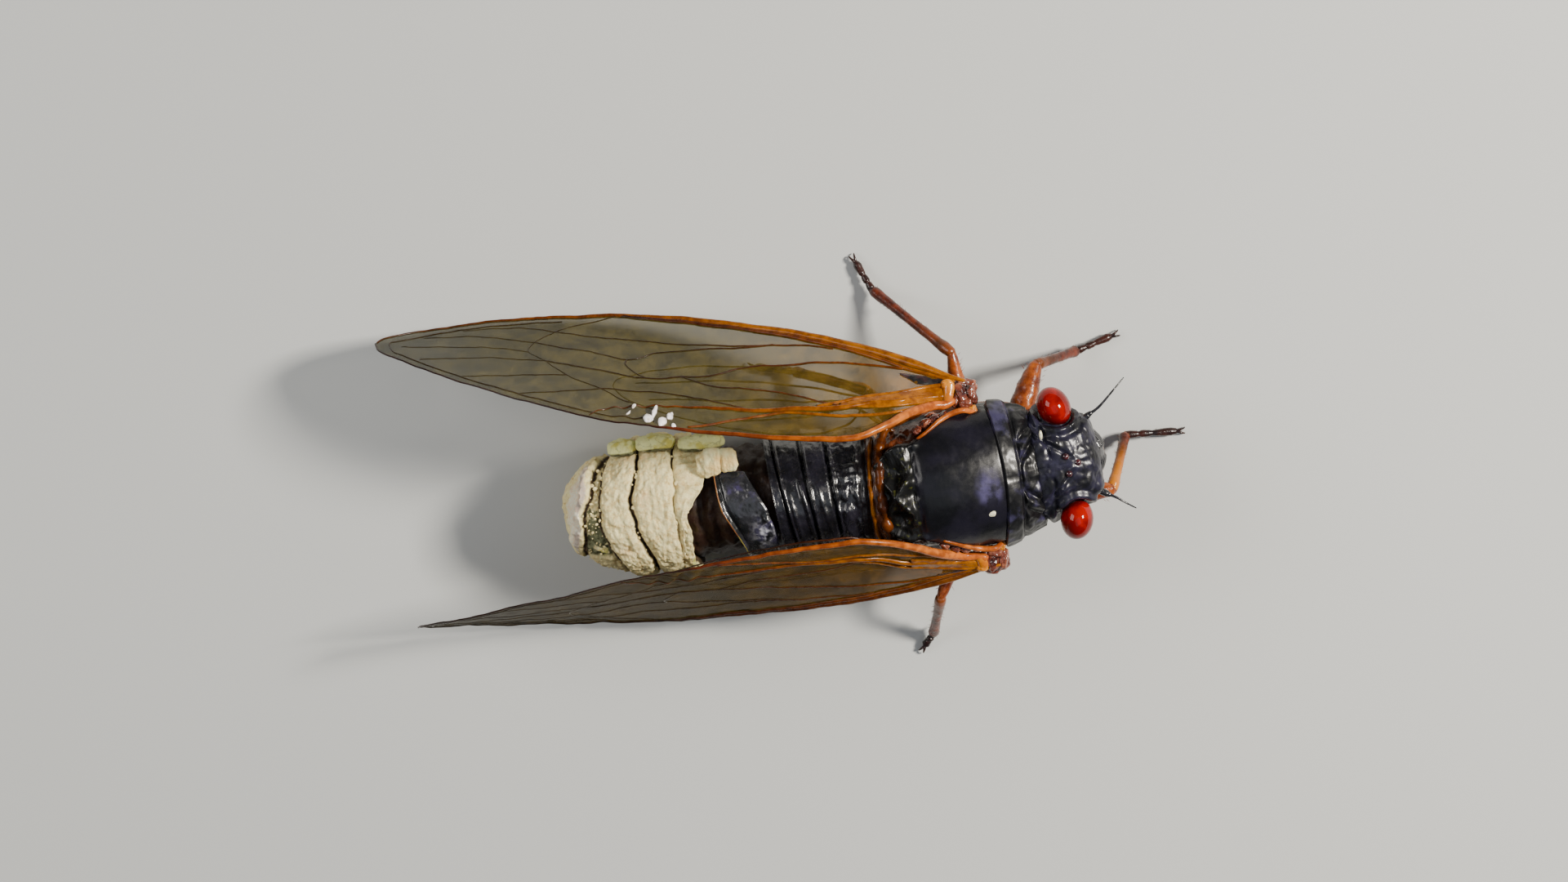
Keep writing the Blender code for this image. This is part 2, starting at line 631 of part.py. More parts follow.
def plug_ring(x, count):
    """One ring of the plug: grooved, leaning, flat below, and rounded and slimmer to the left at its end."""
    half, top, wide, bottom, _ = section_at(TRUNK, x)
    out = max(PLUG_ROUND_X - x, 0.0) / (PLUG_ROUND_X - PLUG_REAR_X)
    swell = max(1.0 - out**PLUG_END_POWER, 0.0) ** (1.0 / PLUG_END_POWER)
    depth = sum(PLUG_GROOVE_DEPTH * math.exp(-(((x - g) / PLUG_GROOVE_WIDTH) ** 2)) for g in PLUG_GROOVES)
    trim = 1.0 - PLUG_LEFT_TRIM * smoothstep((PLUG_TRIM_X - x) / PLUG_TRIM_RUN)
    ring = []
    for px, y, z in section_ring(TRUNK, x, count, -depth * swell):
        z = wide + (z - wide) * swell
        z -= PLUG_SEAT * max(wide - z, 0.0) / (wide - bottom)
        lean = PLUG_LEAN * smoothstep((CORE_REAR_X - x) / PLUG_LEAN_RUN) * (top - z)
        ring.append((px + lean * (1 - out**4), y * swell * (trim if y > 0 else 1.0), max(z, 0.0)))
    return ring


def build_plug(surfaces):
    """The chalky plug with its ring grooves, side lobes and the tab that reaches forward."""
    places = [CORE_REAR_X - GAP / 2]
    for groove in PLUG_GROOVES:
        places += [groove + step for step in PLUG_GROOVE_RINGS]
    places += [PLUG_REAR_X + step for step in PLUG_END_RINGS]
    places = sorted(set(places), reverse=True)
    plug = loft("plug", [plug_ring(x, 28) for x in places])
    extra = [ellipsoid("lobe", (x, y, z), (length, *LOBE_RADII), 12, 8) for x, y, z, length in PLUG_LOBES]
    start, end = (Vector(p) for p in TAB_POINTS)
    rings = []
    for share, size in TAB_PROFILE:
        centre = start.lerp(end, share)
        wide, high = TAB_RADII[0] * size, TAB_RADII[1] * size
        angles = [2 * math.pi * k / 12 for k in range(12)]
        rings.append([tuple(centre + Vector((0, wide * math.cos(a), high * math.sin(a)))) for a in angles])
    extra.append(loft("tab", rings))
    combine(plug, extra, "UNION")
    finish(plug, "fungus_plug", surfaces["plug"])


def limb_segment(name, start, end, thick, profile, planes):
    """A tapered round segment of a leg, each end slid onto a plane that it shares with its neighbour."""
    start, end = Vector(start), Vector(end)
    run = (end - start).normalized()
    up, level = frame_across(run)
    rings = []
    for share, size in profile:
        centre = start.lerp(end, share)
        radius = thick * size
        ring = []
        for k in range(LEG_SIDES):
            a = 2 * math.pi * (k + 0.5) / LEG_SIDES
            point = centre + radius * (math.cos(a) * level + math.sin(a) * up)
            plane = planes[0] if share == 0 else planes[1] if share == 1 else None
            if plane:
                place, normal = plane
                point += run * ((place - point).dot(normal) / run.dot(normal))
            ring.append((point.x, point.y, max(point.z, 0.0)))
        rings.append(ring)
    return loft(name, rings)


def spine(base, direction, length, radius):
    """A pointed spine whose root is sunk in what carries it."""
    base, direction = Vector(base), Vector(direction).normalized()
    tip = base + direction * length
    return tube("spine", [(*base, radius), (*tip, SPINE_TIP_RADIUS)], 6)


def row_of_spines(start, end, places, radius):
    """Spines along the under side of a limb, turned a little outward by turns."""
    start, end = Vector(start), Vector(end)
    run = (end - start).normalized()
    up, level = frame_across(run)
    made = []
    for i, (share, length) in enumerate(places):
        under = (-up + level * (SPINE_TURN if i % 2 else -SPINE_TURN)).normalized()
        base = start.lerp(end, share) + under * radius * (1 - SPINE_SINK)
        made.append(spine(base, under + run * SPINE_LEAN, length + radius * SPINE_SINK, SPINE_RADIUS))
    return made


def claws(ankle, toe):
    """The pair of claws at the end of a foot, laid just above the floor."""
    run = (Vector(toe) - Vector(ankle)).normalized()
    made = []
    for turn in (CLAW_SPREAD, -CLAW_SPREAD):
        way = Matrix.Rotation(math.radians(turn), 3, "Z") @ Vector((run.x, run.y, 0.0))
        base = Vector((toe[0], toe[1], CLAW_RADIUS + CLAW_CLEAR)) - way * CLAW_SINK
        made.append(spine(base, way + Vector((0, 0, -CLAW_DIP)), CLAW_LENGTH + CLAW_SINK, CLAW_RADIUS))
    return made


def leg_seat(pair):
    """The grown bodies that a thigh is cut back to."""
    if pair == "fore":
        chest = trunk_piece("seat", HEAD_REAR_X, PRONOTUM_REAR_X - 1.0, 8, 36, grow=GAP)
        return [chest, head_body(GAP)]
    return [trunk_piece("seat", PRONOTUM_REAR_X, METATHORAX_REAR_X, 12, 40, grow=GAP)]


def build_legs(surfaces):
    """Six legs, each a thigh, a shin and a foot that meet on shared slanting planes."""
    for leg, joints in LEGS.items():
        hip, knee, ankle, toe = (Vector(p) for p in joints)
        pair = leg.split("_")[0]
        runs = [(b - a).normalized() for a, b in ((hip, knee), (knee, ankle), (ankle, toe))]
        bends = [(runs[0] + runs[1]).normalized(), (runs[1] + runs[2]).normalized()]
        half = GAP / 2
        thick = FEMUR_RADIUS[pair]
        planes = (None, (knee - bends[0] * half, bends[0]))
        femur = limb_segment("femur", hip, knee, thick, THIGH_PROFILE, planes)
        combine(femur, leg_seat(pair), "DIFFERENCE")
        spines = row_of_spines(hip, knee, THIGH_SPINES[pair], thick)
        if spines:
            combine(femur, spines, "UNION")
        finish(femur, "femur_" + leg, surfaces["thigh"])
        planes = ((knee + bends[0] * half, bends[0]), (ankle - bends[1] * half, bends[1]))
        tibia = limb_segment("tibia", knee, ankle, TIBIA_RADIUS, SHIN_PROFILE, planes)
        combine(tibia, row_of_spines(knee, ankle, SHIN_SPINES[pair], TIBIA_RADIUS), "UNION")
        finish(tibia, "tibia_" + leg, surfaces["shin"])
        planes = ((ankle + bends[1] * half, bends[1]), None)
        tarsus = limb_segment("tarsus", ankle, toe, TARSUS_RADIUS, FOOT_PROFILE, planes)
        combine(tarsus, claws(ankle, toe), "UNION")
        finish(tarsus, "tarsus_" + leg, surfaces["foot"])


def wing_point(u, v, name):
    """Where a place in the wing's own plane lies: it leans, twists, bows and dips to its root."""
    side = 1.0 if name == "left" else -1.0
    v = v + WING_ROOT_SHIFT[name] * smoothstep((7.0 - u) / 4.0) * smoothstep(v / 1.5)
    sweep, droop = math.radians(WING_SWEEP[name]), math.radians(WING_DROOP)
    lean = math.radians(WING_TILT + WING_TWIST_PER_MM * (u - WING_TILT_AT))
    root = WING_ROOTS[name]
    share = u / WING_LENGTH
    out = u * math.sin(sweep) * math.cos(droop) + WING_BOW * 4 * share * (1 - share) - v * math.cos(lean)
    sink = WING_ROOT_SINK * smoothstep((2.6 - u) / 3.0) * smoothstep(v / 2.5)
    x = root[0] - u * math.cos(sweep) * math.cos(droop) - sink * WING_SINK_LEAN[0]
    y = root[1] + side * out - sink * WING_SINK_LEAN[1]
    return Vector((x, y, root[2] - u * math.sin(droop) + v * math.sin(lean) - sink))


def wing_normal(u, v, name):
    """The wing's outward direction."""
    step = 0.05
    along = wing_point(u + step, v, name) - wing_point(u - step, v, name)
    across = wing_point(u, v + step, name) - wing_point(u, v - step, name)
    normal = along.cross(across).normalized()
    side = 1.0 if name == "left" else -1.0
    return normal if normal.y * side > 0 else -normal


def distance_to_line(point, line):
    """The shortest distance from a point to a chain of straight pieces."""
    a, b = line[:-1], line[1:]
    run = b - a
    t = np.clip(((point - a) * run).sum(1) / (run * run).sum(1), 0, 1)
    return float(np.linalg.norm(a + run * t[:, None] - point, axis=1).min())


def inside(point, outline):
    """True if a point lies inside a closed outline."""
    x, y = point
    hit = False
    for (ax, ay), (bx, by) in zip(outline, np.roll(outline, -1, axis=0)):
        if (ay > y) != (by > y) and x < (bx - ax) * (y - ay) / (by - ay) + ax:
            hit = not hit
    return hit


def sheet(name, outline, veins, place, half, ridge):
    """A thin plate of one triangulation on both faces, with veins raised along its lines."""
    points = [tuple(p) for p in outline]
    edges = [(i, (i + 1) % len(outline)) for i in range(len(outline))]
    lines = [spaced(line, WING_STEP) for line in veins]
    rim = np.vstack([outline, outline[:1]])
    for line in lines:
        first = None
        for i, p in enumerate(line):
            if distance_to_line(p, rim) < 0.35 or not inside(p, outline):
                first = None
                continue
            points.append(tuple(p))
            if first is not None:
                edges.append((first, len(points) - 1))
            first = len(points) - 1
    for line in lines:
        for i in range(len(line) - 1):
            run = (line[i + 1] - line[i]) / np.linalg.norm(line[i + 1] - line[i])
            across = np.array((-run[1], run[0]))
            for sign in (1, -1):
                p = (line[i] + line[i + 1]) / 2 + across * sign * VEIN_FOOT
                clear = min(distance_to_line(p, other) for other in lines)
                if clear > VEIN_FOOT * 0.8 and distance_to_line(p, rim) > 0.5 and inside(p, outline):
                    if min(math.dist(p, q) for q in points) > 0.4:
                        points.append(tuple(p))
    flat, _, faces, *_ = delaunay_2d_cdt([Vector(p) for p in points], edges, [], 1, 0.01)
    base = []
    for p in flat:
        near = min(distance_to_line(np.array(p), line) for line in lines)
        edge = distance_to_line(np.array(p), rim)
        base.append(half + (ridge if min(near, edge) < 0.05 else 0.0))
    top = [place(p[0], p[1], h) for p, h in zip(flat, base)]
    under = [place(p[0], p[1], -half) for p in flat]
    count = len(flat)
    both = [tuple(f) for f in faces] + [tuple(i + count for i in reversed(f)) for f in faces]
    sides = {}
    for face in faces:
        for a, b in zip(face, list(face[1:]) + [face[0]]):
            sides[(a, b)] = True
    rims = [(a, b) for a, b in sides if (b, a) not in sides]
    both += [(b, a, a + count) for a, b in rims] + [(b, a + count, b + count) for a, b in rims]
    return make_object(name, top + under, both)


def wing_outline():
    """The closed edge of the forewing."""
    front = spaced(WING_FRONT_EDGE, WING_STEP)
    rear = spaced(WING_INNER_EDGE, WING_STEP)
    return np.vstack([front[:-1], rear[:-1]])


def ambient_vein():
    """The vein that follows the wing's outer edge a little way inside it."""
    front = [p for p in spaced(WING_FRONT_EDGE, 0.8) if p[0] > AMBIENT_FRONT_U]
    rear = [p for p in spaced(WING_INNER_EDGE, 0.8) if p[0] > AMBIENT_REAR_U]
    edge = np.vstack([front, rear[1:]])
    run = np.gradient(edge, axis=0)
    run /= np.linalg.norm(run, axis=1)[:, None]
    inward = np.stack([-run[:, 1], run[:, 0]], axis=1)
    return [tuple(p) for p in (edge + inward * AMBIENT_INSET)[::2]]


def build_wings(surfaces):
    """Two forewings with raised veins on their hinges, and a hind wing folded inside each."""
    for name in ("left", "right"):

        def place(u, v, lift, wing=name):
            return wing_point(u, v, wing) + wing_normal(u, v, wing) * lift

        veins = list(WING_VEINS.values()) + [ambient_vein()]
        wing = sheet("forewing", wing_outline(), veins, place, MEMBRANE_HALF, VEIN_RIDGE)
        start = Vector(HINGE_START[name])
        middle = Vector(HINGE_MIDDLE[name])
        end = wing_point(*HINGE_PLACE, name)
        stations = [(*p, r) for p, r in zip((start, middle, end), HINGE_RADII)]
        combine(wing, [tube("hinge", stations, 10)], "UNION")
        seats = [
            trunk_piece("seat", HEAD_REAR_X, PRONOTUM_REAR_X, 12, 36, pronotum_relief, GAP),
            trunk_piece("seat", PRONOTUM_REAR_X, METATHORAX_REAR_X, 16, 40, grow=GAP),
        ]
        combine(wing, seats, "DIFFERENCE")
        finish(wing, "forewing_" + name, surfaces["wing"])

        def place_under(u, v, lift, wing=name):
            return wing_point(u, v, wing) + wing_normal(u, v, wing) * (lift - HINDWING_OFFSET)

        outline = spaced(HINDWING_OUTLINE + HINDWING_OUTLINE[:1], WING_STEP * 1.2)[:-1]
        veins = list(HINDWING_VEINS.values())
        hind = sheet("hindwing", outline, veins, place_under, MEMBRANE_HALF, HINDWING_RIDGE)
        start = Vector(HINDWING_HINGE[name])
        end = place_under(*HINDWING_HINGE_PLACE, 0.0)
        stations = [(*p, r) for p, r in zip((start, (start + end) / 2, end), HINDWING_HINGE_RADII)]
        combine(hind, [tube("hinge", stations, 8)], "UNION")
        combine(hind, [trunk_piece("seat", PRONOTUM_REAR_X, PLUG_ROUND_X, 30, 32, grow=GAP)], "DIFFERENCE")
        finish(hind, "hindwing_" + name, surfaces["hindwing"])


def main():
    for obj in list(bpy.data.objects):
        bpy.data.objects.remove(obj)
    surfaces = {
        "shell": material("shell", SHELL_BLACK, 0.25),
        "dark": material("dark", LEG_DARK, 0.4),
        "eye": material("eye", EYE_RED, 0.15),
        "wing": material("wing", WING_AMBER, 0.25),
        "hindwing": material("hindwing", HIND_AMBER, 0.3),
        "thigh": material("thigh", LEG_RUST, 0.35),
        "shin": material("shin", LEG_DARK, 0.35),
        "foot": material("foot", TOE_DARK, 0.35),
        "edge": material("edge", EDGE_ORANGE, 0.4),
        "stump": material("stump", STUMP_BROWN, 0.6),
        "plug": material("plug", PLUG_CREAM, 0.9),
    }
    build_head(surfaces)
    build_trunk(surfaces)
    build_stump(surfaces)
    build_plug(surfaces)
    build_legs(surfaces)
    build_wings(surfaces)


main()
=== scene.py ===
"""The periodical cicada dressed for the camera: skins, membranes, veins, hinges, bristles and surfaces.

Lengths are millimetres in the same drawing frame as the solids and become metres when a piece is made.
+X runs to the head, +Y to the insect's left and +Z up.
"""

import math

import bmesh
import bpy
import numpy as np
from mathutils import Matrix, Vector, noise


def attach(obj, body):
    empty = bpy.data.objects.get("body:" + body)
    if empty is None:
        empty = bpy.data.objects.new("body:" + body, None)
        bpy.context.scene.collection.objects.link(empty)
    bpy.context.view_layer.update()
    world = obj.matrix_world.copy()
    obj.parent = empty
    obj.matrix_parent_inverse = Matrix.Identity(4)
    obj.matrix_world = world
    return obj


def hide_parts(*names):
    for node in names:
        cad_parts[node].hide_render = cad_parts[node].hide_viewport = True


MM = 0.001
CENTRE = np.array((-9.0, 0.8, 0.0))

# The photo's camera: what it looks at, how far away it is, its lean and its roll
CAMERA_AIM = Vector((-8.994, 2.952, 5.0))
CAMERA_DISTANCE = 247.4
CAMERA_LEAN = (0.03, 0.148)
CAMERA_ROLL = -0.1019

# The floor lies a tenth of a millimetre under the feet, in metres
FLOOR_Z = -0.0001

# The head and thorax turn a little to the left, in the neck and in the waist
TURNS = ((3.4, 4.9, 4.3, 1.4), (3.0, -4.2, -5.0, 1.6))

# Trunk and head sections: place along the body, half width, top, widest level, bottom and squareness
TRUNK = (
    (5.2, 3.35, 9.35, 6.9, 4.3, 2.2),
    (4.0, 3.85, 9.95, 7.0, 4.0, 2.2),
    (3.0, 4.1, 10.35, 7.1, 3.8, 2.2),
    (1.6, 4.15, 10.8, 7.1, 3.5, 2.2),
    (-0.4, 4.15, 11.15, 7.0, 3.3, 2.2),
    (-2.2, 3.95, 11.0, 6.8, 3.2, 2.2),
    (-3.7, 3.65, 10.4, 6.3, 3.2, 2.1),
    (-5.0, 3.5, 9.9, 5.7, 3.1, 2.0),
    (-7.5, 3.5, 9.85, 5.3, 2.7, 2.0),
    (-10.2, 3.65, 9.6, 5.1, 2.2, 2.0),
    (-14.0, 3.9, 9.2, 4.8, 1.3, 2.05),
    (-16.0, 4.1, 8.9, 4.6, 0.6, 2.1),
    (-18.0, 4.1, 8.5, 4.4, -0.1, 2.15),
    (-20.0, 4.0, 8.2, 4.3, -0.1, 2.15),
    (-22.0, 3.9, 8.0, 4.2, 0.1, 2.15),
)
HEAD = (
    (5.2, 3.2, 9.3, 7.0, 4.7, 2.25),
    (6.2, 3.3, 9.35, 7.1, 4.6, 2.25),
    (7.0, 2.95, 9.25, 7.2, 4.7, 2.25),
    (7.8, 2.6, 8.95, 7.2, 5.0, 2.25),
    (8.4, 2.1, 8.4, 7.2, 5.7, 2.25),
    (8.65, 1.3, 7.9, 7.1, 6.3, 2.25),
)
HEAD_REAR_X = 5.1
PRONOTUM_REAR_X = 2.9
CORE_REAR_X = -14.6
EYE_CENTRE = (6.7, 3.2, 8.0)
EYE_RADII = (0.92, 1.15, 1.15)
EYE_TURN = 16.0
CLYPEUS_CENTRE = (7.75, 0.0, 6.35)
CLYPEUS_RADII = (1.3, 1.6, 1.95)
OCELLI = ((7.35, 0.0, 9.05), (6.75, 0.5, 9.22), (6.75, -0.5, 9.22))
ROSTRUM = ((6.9, 0.0, 3.85), (5.2, 0.0, 3.35), (2.6, 0.0, 2.75), (1.9, 0.0, 2.6))
ANTENNAE = {
    "left": ((7.3, 2.3, 7.3), (8.2, 3.1, 7.4), (8.85, 3.5, 7.4), (10.4, 4.95, 6.95)),
    "right": ((7.9, -0.9, 7.2), (8.9, -1.5, 7.25), (9.4, -1.75, 7.3), (10.45, -2.5, 7.0)),
}
CROSS_CENTRE_X = -2.75

TERGITE_EDGES = (-4.75, -6.33, -7.65, -9.1, -9.75)
TERGITE_SLANT = (0.0, 0.095, 0.126, 0.18, 0.117)
PLATE_SIDES = (-3.7, -2.4, -1.6, -0.65, -0.1, 0.8, 2.1)
PLATE_FRONT = (-9.8, -9.74, -9.78, -10.08, -10.2, -10.65, -11.3)
PLATE_REAR = (-11.3, -11.66, -12.0, -12.47, -12.75, -12.94, -13.05)
PLUG_ROUND_X = -17.9
PLUG_REAR_X = -22.0
PLUG_LEFT_TRIM = 0.14
PLUG_TRIM_X = -17.6
PLUG_SEAT = 0.25
PLUG_LOBES = ((-13.6, 3.68, 7.2, 1.35), (-16.2, 3.87, 6.8, 1.15), (-18.1, 3.72, 6.5, 0.85))
LOBE_RADII = (0.5, 0.9)
PLUG_POWER = 2.5
PLUG_CRUMBS = 260
TAB_POINTS = ((-13.9, 2.55, 8.35), (-11.6, 2.85, 9.05))

LEGS = {
    "fore_left": ((4.0, 2.0, 4.6), (5.65, 5.7, 3.6), (8.15, 5.87, 0.62), (10.21, 6.46, 0.12)),
    "fore_right": ((4.4, -1.7, 4.6), (9.35, -1.9, 3.5), (10.5, 0.72, 0.62), (13.47, 0.59, 0.12)),
    "mid_left": ((1.4, 2.2, 4.2), (0.94, 7.0, 4.6), (-3.2, 10.54, 0.6), (-3.98, 12.15, 0.12)),
    "mid_right": ((1.4, -2.0, 4.2), (-1.0, -7.1, 4.2), (-1.6, -9.8, 0.6), (-2.15, -10.54, 0.12)),
    "hind_left": ((-1.9, 2.0, 3.9), (-4.0, 5.2, 3.7), (-8.2, 6.3, 0.6), (-10.3, 6.7, 0.12)),
    "hind_right": ((-1.9, -2.0, 3.9), (-4.0, -4.9, 3.7), (-8.0, -5.5, 0.6), (-10.1, -5.8, 0.12)),
}
FEMUR_RADIUS = {"fore": 0.72, "mid": 0.5, "hind": 0.5}
TIBIA_RADIUS = 0.3
TARSUS_RADIUS = 0.22

# How stout each length of a leg is along its way, times its radius, and the path of a claw from the toe
THIGH_PROFILE = ((0, 0.6), (0.22, 0.8), (0.45, 1.0), (0.7, 0.9), (0.93, 0.62), (1, 0.5))
SHIN_PROFILE = ((0, 1.05), (0.08, 1.2), (0.2, 1.0), (0.5, 0.88), (0.85, 1.0), (0.96, 1.12), (1, 0.8))
FOOT_PROFILE = (
    (0, 1.0), (0.1, 1.1), (0.22, 0.9), (0.27, 0.72), (0.33, 1.0), (0.48, 0.9), (0.53, 0.7), (0.6, 0.9),
    (0.9, 1.1), (1, 0.8),
)
CLAW = ((-0.1, 0.0), (0.28, 0.06), (0.5, -0.06), (0.56, -0.2))
THIGH_SPINES = {"fore": ((0.5, 0.6), (0.68, 0.7), (0.84, 0.55)), "mid": (), "hind": ()}
SHIN_SPINES = {
    "fore": ((0.9, 0.4),),
    "mid": ((0.7, 0.4), (0.92, 0.45)),
    "hind": ((0.35, 0.45), (0.55, 0.5), (0.75, 0.5), (0.93, 0.5)),
}

# Forewing in its own plane: u from root to tip, v from the front edge to the inner edge
WING_LENGTH = 33.0
WING_FRONT_EDGE = (
    (0, 0), (2, -0.5), (4, -0.95), (8, -1.5), (12, -1.75), (16, -1.7), (20, -1.35), (24, -0.5),
    (27.5, 0.8), (30.5, 2.4), (32.4, 3.9), (33, 4.9),
)
WING_INNER_EDGE = (
    (33, 4.9), (32.6, 6.0), (31, 7.3), (28.5, 8.6), (25.5, 9.6), (22.5, 10.2), (19.5, 10.4), (17.2, 10.1),
    (14.5, 9.5), (11, 8.75), (7, 7.6), (5, 6.75), (3.9, 5.9), (3.0, 5.05), (2.2, 4.15), (1.3, 3.4),
    (0.4, 2.8), (0, 2.6),
)
WING_VEINS = {
    "subcosta": (
        (-0.9, 0.5), (0.6, 0.32), (1.9, 0.12), (4.3, -0.6), (6.9, -1.0), (9.4, -1.3), (12, -1.45),
        (16, -1.42), (18.6, -1.5),
    ),
    "radius": ((6, -0.62), (8, -0.5), (11, 0.2), (14, 0.8), (18, 1.1), (22.4, 0.9)),
    "radius_branch": (
        (9.5, -0.2), (11.5, 0.5), (13.7, 1.2), (16.4, 2.15), (18.1, 3.25), (20.5, 2.95), (23.6, 2.5),
    ),
    "media": (
        (1.9, 0.1), (2.2, 0.24), (4.4, 0.4), (7, 0.9), (9.5, 1.8), (11.5, 2.6), (12.9, 3.5), (15, 4.4),
        (17, 5.0), (19.5, 4.95), (22.9, 4.7),
    ),
    "media_branch": ((5.9, 4.5), (8.6, 4.25), (10.9, 4.45), (12.7, 4.7), (15, 4.4)),
    "cross_mid": ((18.1, 3.25), (18.2, 3.8), (17.6, 4.6), (17, 5.0)),
    "cubitus": (
        (-0.2, 1.9), (1.4, 2.55), (2.8, 3.2), (4, 3.65), (5.9, 4.7), (8.4, 5.5), (10.9, 6.4), (13.9, 7.05),
        (17, 7.95), (19.4, 9.1), (20.2, 10.1),
    ),
    "cubitus_branch": ((10.9, 6.4), (14, 6.2), (17, 6.4), (19.6, 7.0)),
    "bar": ((-0.4, 0.9), (0.85, 1.5), (2.3, 2.25), (4.2, 3.15), (5.9, 4.2), (7.1, 4.85)),
    "claval": (
        (1.2, 3.2), (3.4, 4.4), (4.7, 4.95), (5.9, 5.35), (7.4, 5.65), (9.05, 6.0), (10.95, 7.05),
        (12.2, 7.8), (13.5, 8.6), (14.6, 9.2),
    ),
    "cross_front": ((18.6, -1.5), (21, -0.2), (22.4, 0.9), (23.6, 2.5), (23.9, 3.7), (22.9, 4.7)),
    "cross_rear": ((22.9, 4.7), (21.6, 6.0), (19.6, 7.0), (18.2, 7.8), (17.2, 8.0)),
    "cell_1": ((22.4, 0.9), (25, 0.9), (27.9, 1.9)),
    "cell_2": ((23.6, 2.5), (26.5, 2.5), (30.2, 3.2)),
    "cell_3": ((23.9, 3.7), (27, 3.9), (31.4, 4.9)),
    "cell_4": ((22.9, 4.7), (26.5, 5.3), (30.2, 6.6)),
    "cell_5": ((21.6, 6.0), (24.5, 6.9), (27.6, 8.1)),
    "cell_6": ((19.6, 7.0), (22, 8.0), (24.2, 9.1)),
}
MAIN_VEINS = ("subcosta", "cubitus", "bar", "claval")
FINE_VEIN_RADIUS = 0.06

# The folds by the left wing's rear edge, painted near white as glints: a line and its width
WING_GLINT_FOLDS = (
    (((16.98, 9.75), (16.85, 9.3), (16.7, 8.95)), 0.26), (((16.66, 9.0), (16.5, 8.5), (16.38, 8.05)), 0.17),
    (((16.2, 9.75), (16.05, 9.4), (15.9, 9.1)), 0.23), (((15.75, 8.9), (15.62, 8.5), (15.5, 8.1)), 0.18),
    (((15.5, 9.7), (15.35, 9.4)), 0.12), (((18.1, 9.3), (18.0, 9.0), (17.9, 8.75)), 0.1),
    (((17.75, 8.6), (17.6, 8.2)), 0.1),
)

# Cells at the wing root: their front and rear edges, and where they start and end
AMBER_CELL = (
    ((-0.3, 1.1), (1.4, 1.85), (2.8, 2.6), (3.8, 3.0), (5.1, 3.6), (6.3, 4.4)),
    ((-0.3, 2.3), (1.4, 3.0), (2.8, 3.6), (3.8, 4.0), (5.1, 4.4), (6.3, 4.8)), -0.3,
)
AMBER_END = {"left": 5.8, "right": 3.6}
# The dark root cell is the wing's opaque basal cell, darkened further as painted shade under the wing root.
ROOT_CELL_AND_SHADE = (
    ((-0.7, 0.5), (0.5, 0.5), (2.2, 0.65)), ((-0.7, 0.8), (0.2, 1.15), (1.3, 1.3), (2.2, 0.75)), -0.7, 2.2,
)
MEMBRANE_HALF = 0.025
FOREWING_GRID = (230, 76)
HINDWING_GRID = (120, 44)
VEIN_RADIUS = {
    "subcosta": 0.17, "radius": 0.07, "radius_branch": 0.07, "media": 0.08, "cubitus": 0.19, "bar": 0.13,
    "claval": 0.11, "media_branch": 0.07, "cubitus_branch": 0.07, "cross_mid": 0.07,
}
WING_TILT_AT = 16.0
WING_TILT = 65.5
WING_TWIST_PER_MM = 0.722
WING_DROOP = 14.0
WING_BOW = 0.59
WING_ROOTS = {"left": (0.03, 6.41, 7.8), "right": (1.02, -5.08, 7.8)}
WING_ROOT_SINK = 1.1
WING_ROOT_SHIFT = {"left": 0.0, "right": -0.7}
WING_SWEEP = {"left": 9.62, "right": 3.14}
HINDWING_OFFSET = 0.9
HINDWING_OUTLINE = (
    (4.2, 1.4), (6.5, 0.8), (10, 0.9), (14, 1.6), (17, 2.9), (18.8, 4.4), (18.5, 5.7), (16.5, 6.8),
    (13, 7.2), (9, 6.8), (6.4, 5.7), (4.8, 3.9),
)
HINDWING_VEINS = {
    "front": ((4.6, 2.2), (8, 2.1), (12.5, 2.7), (17.6, 4.3)),
    "middle": ((4.7, 2.6), (8, 3.5), (12.5, 4.6), (16.8, 5.8)),
    "rear": ((4.9, 3.1), (8, 4.9), (11.5, 6.3)),
}
HINDWING_HINGE = {"left": (-2.2, 2.8, 7.6), "right": (-1.6, -2.5, 7.6)}

# The cord round the rear of the thorax: how far ahead of its middle, and across
REAR_CORD = ((0.35, 3.1), (0.12, 2.4), (0, 1.2), (-0.05, 0.0), (-0.02, -1.2), (0.1, -2.3), (0.35, -3.05))

# The plates of the hinge: the middle of the group, then each one's offset, radii and tone, 1 for amber
HINGE_MIDDLE = {"left": (1.3, 5.0, 8.0), "right": (2.2, -4.45, 7.95)}
HINGE_PLATES = (
    (-0.1, 0.05, 0.05, 0.42, 0.62, 0.42, 0.0), (0.5, -0.02, 0.0, 0.3, 0.58, 0.42, 0.0),
    (0.1, -0.45, 0.3, 0.42, 0.3, 0.3, 0.0), (-0.15, 0.55, -0.35, 0.5, 0.35, 0.4, 0.0),
    (0.5, -0.85, 0.35, 0.24, 0.32, 0.24, 1.0), (0.15, 0.3, -0.75, 0.7, 0.5, 0.5, 0.0),
    (-0.45, -0.3, 0.15, 0.3, 0.36, 0.3, 0.0),
)
HINGE_CORD = (
    (1.45, 3.75, 0.3), (0.74, 3.75, 0.18), (0.1, 3.6, 0.1), (-0.45, 3.35, 0.05), (-0.95, 3.1, 0.02),
    (-1.3, 2.95, 0.0),
)
HINGE_BAND = ((-1.2, 3.9, 0.3), (-2.2, 3.72, 0.25), (-3.0, 3.35, 0.2), (-3.5, 2.6, 0.12))
HINGE_PADS = ((0.35, 3.85, 0.4), (-0.2, 3.8, 0.36), (-0.75, 3.68, 0.36), (-1.3, 3.4, 0.3), (-0.45, 3.95, 0.3))

# How far each seed moves the noise
SEED_SHIFT = (7.3, 3.1, 5.7)

# Every surface by its name
SURFACES = {}


# Curves, sections and noise

def smoothstep(t):
    t = np.clip(t, 0.0, 1.0)
    return t * t * (3.0 - 2.0 * t)


def bell(t):
    return np.exp(-np.square(t))


def rise(value, start, width):
    """0 up to the start, then softly up to 1 over the width."""
    return smoothstep((value - start) / width)


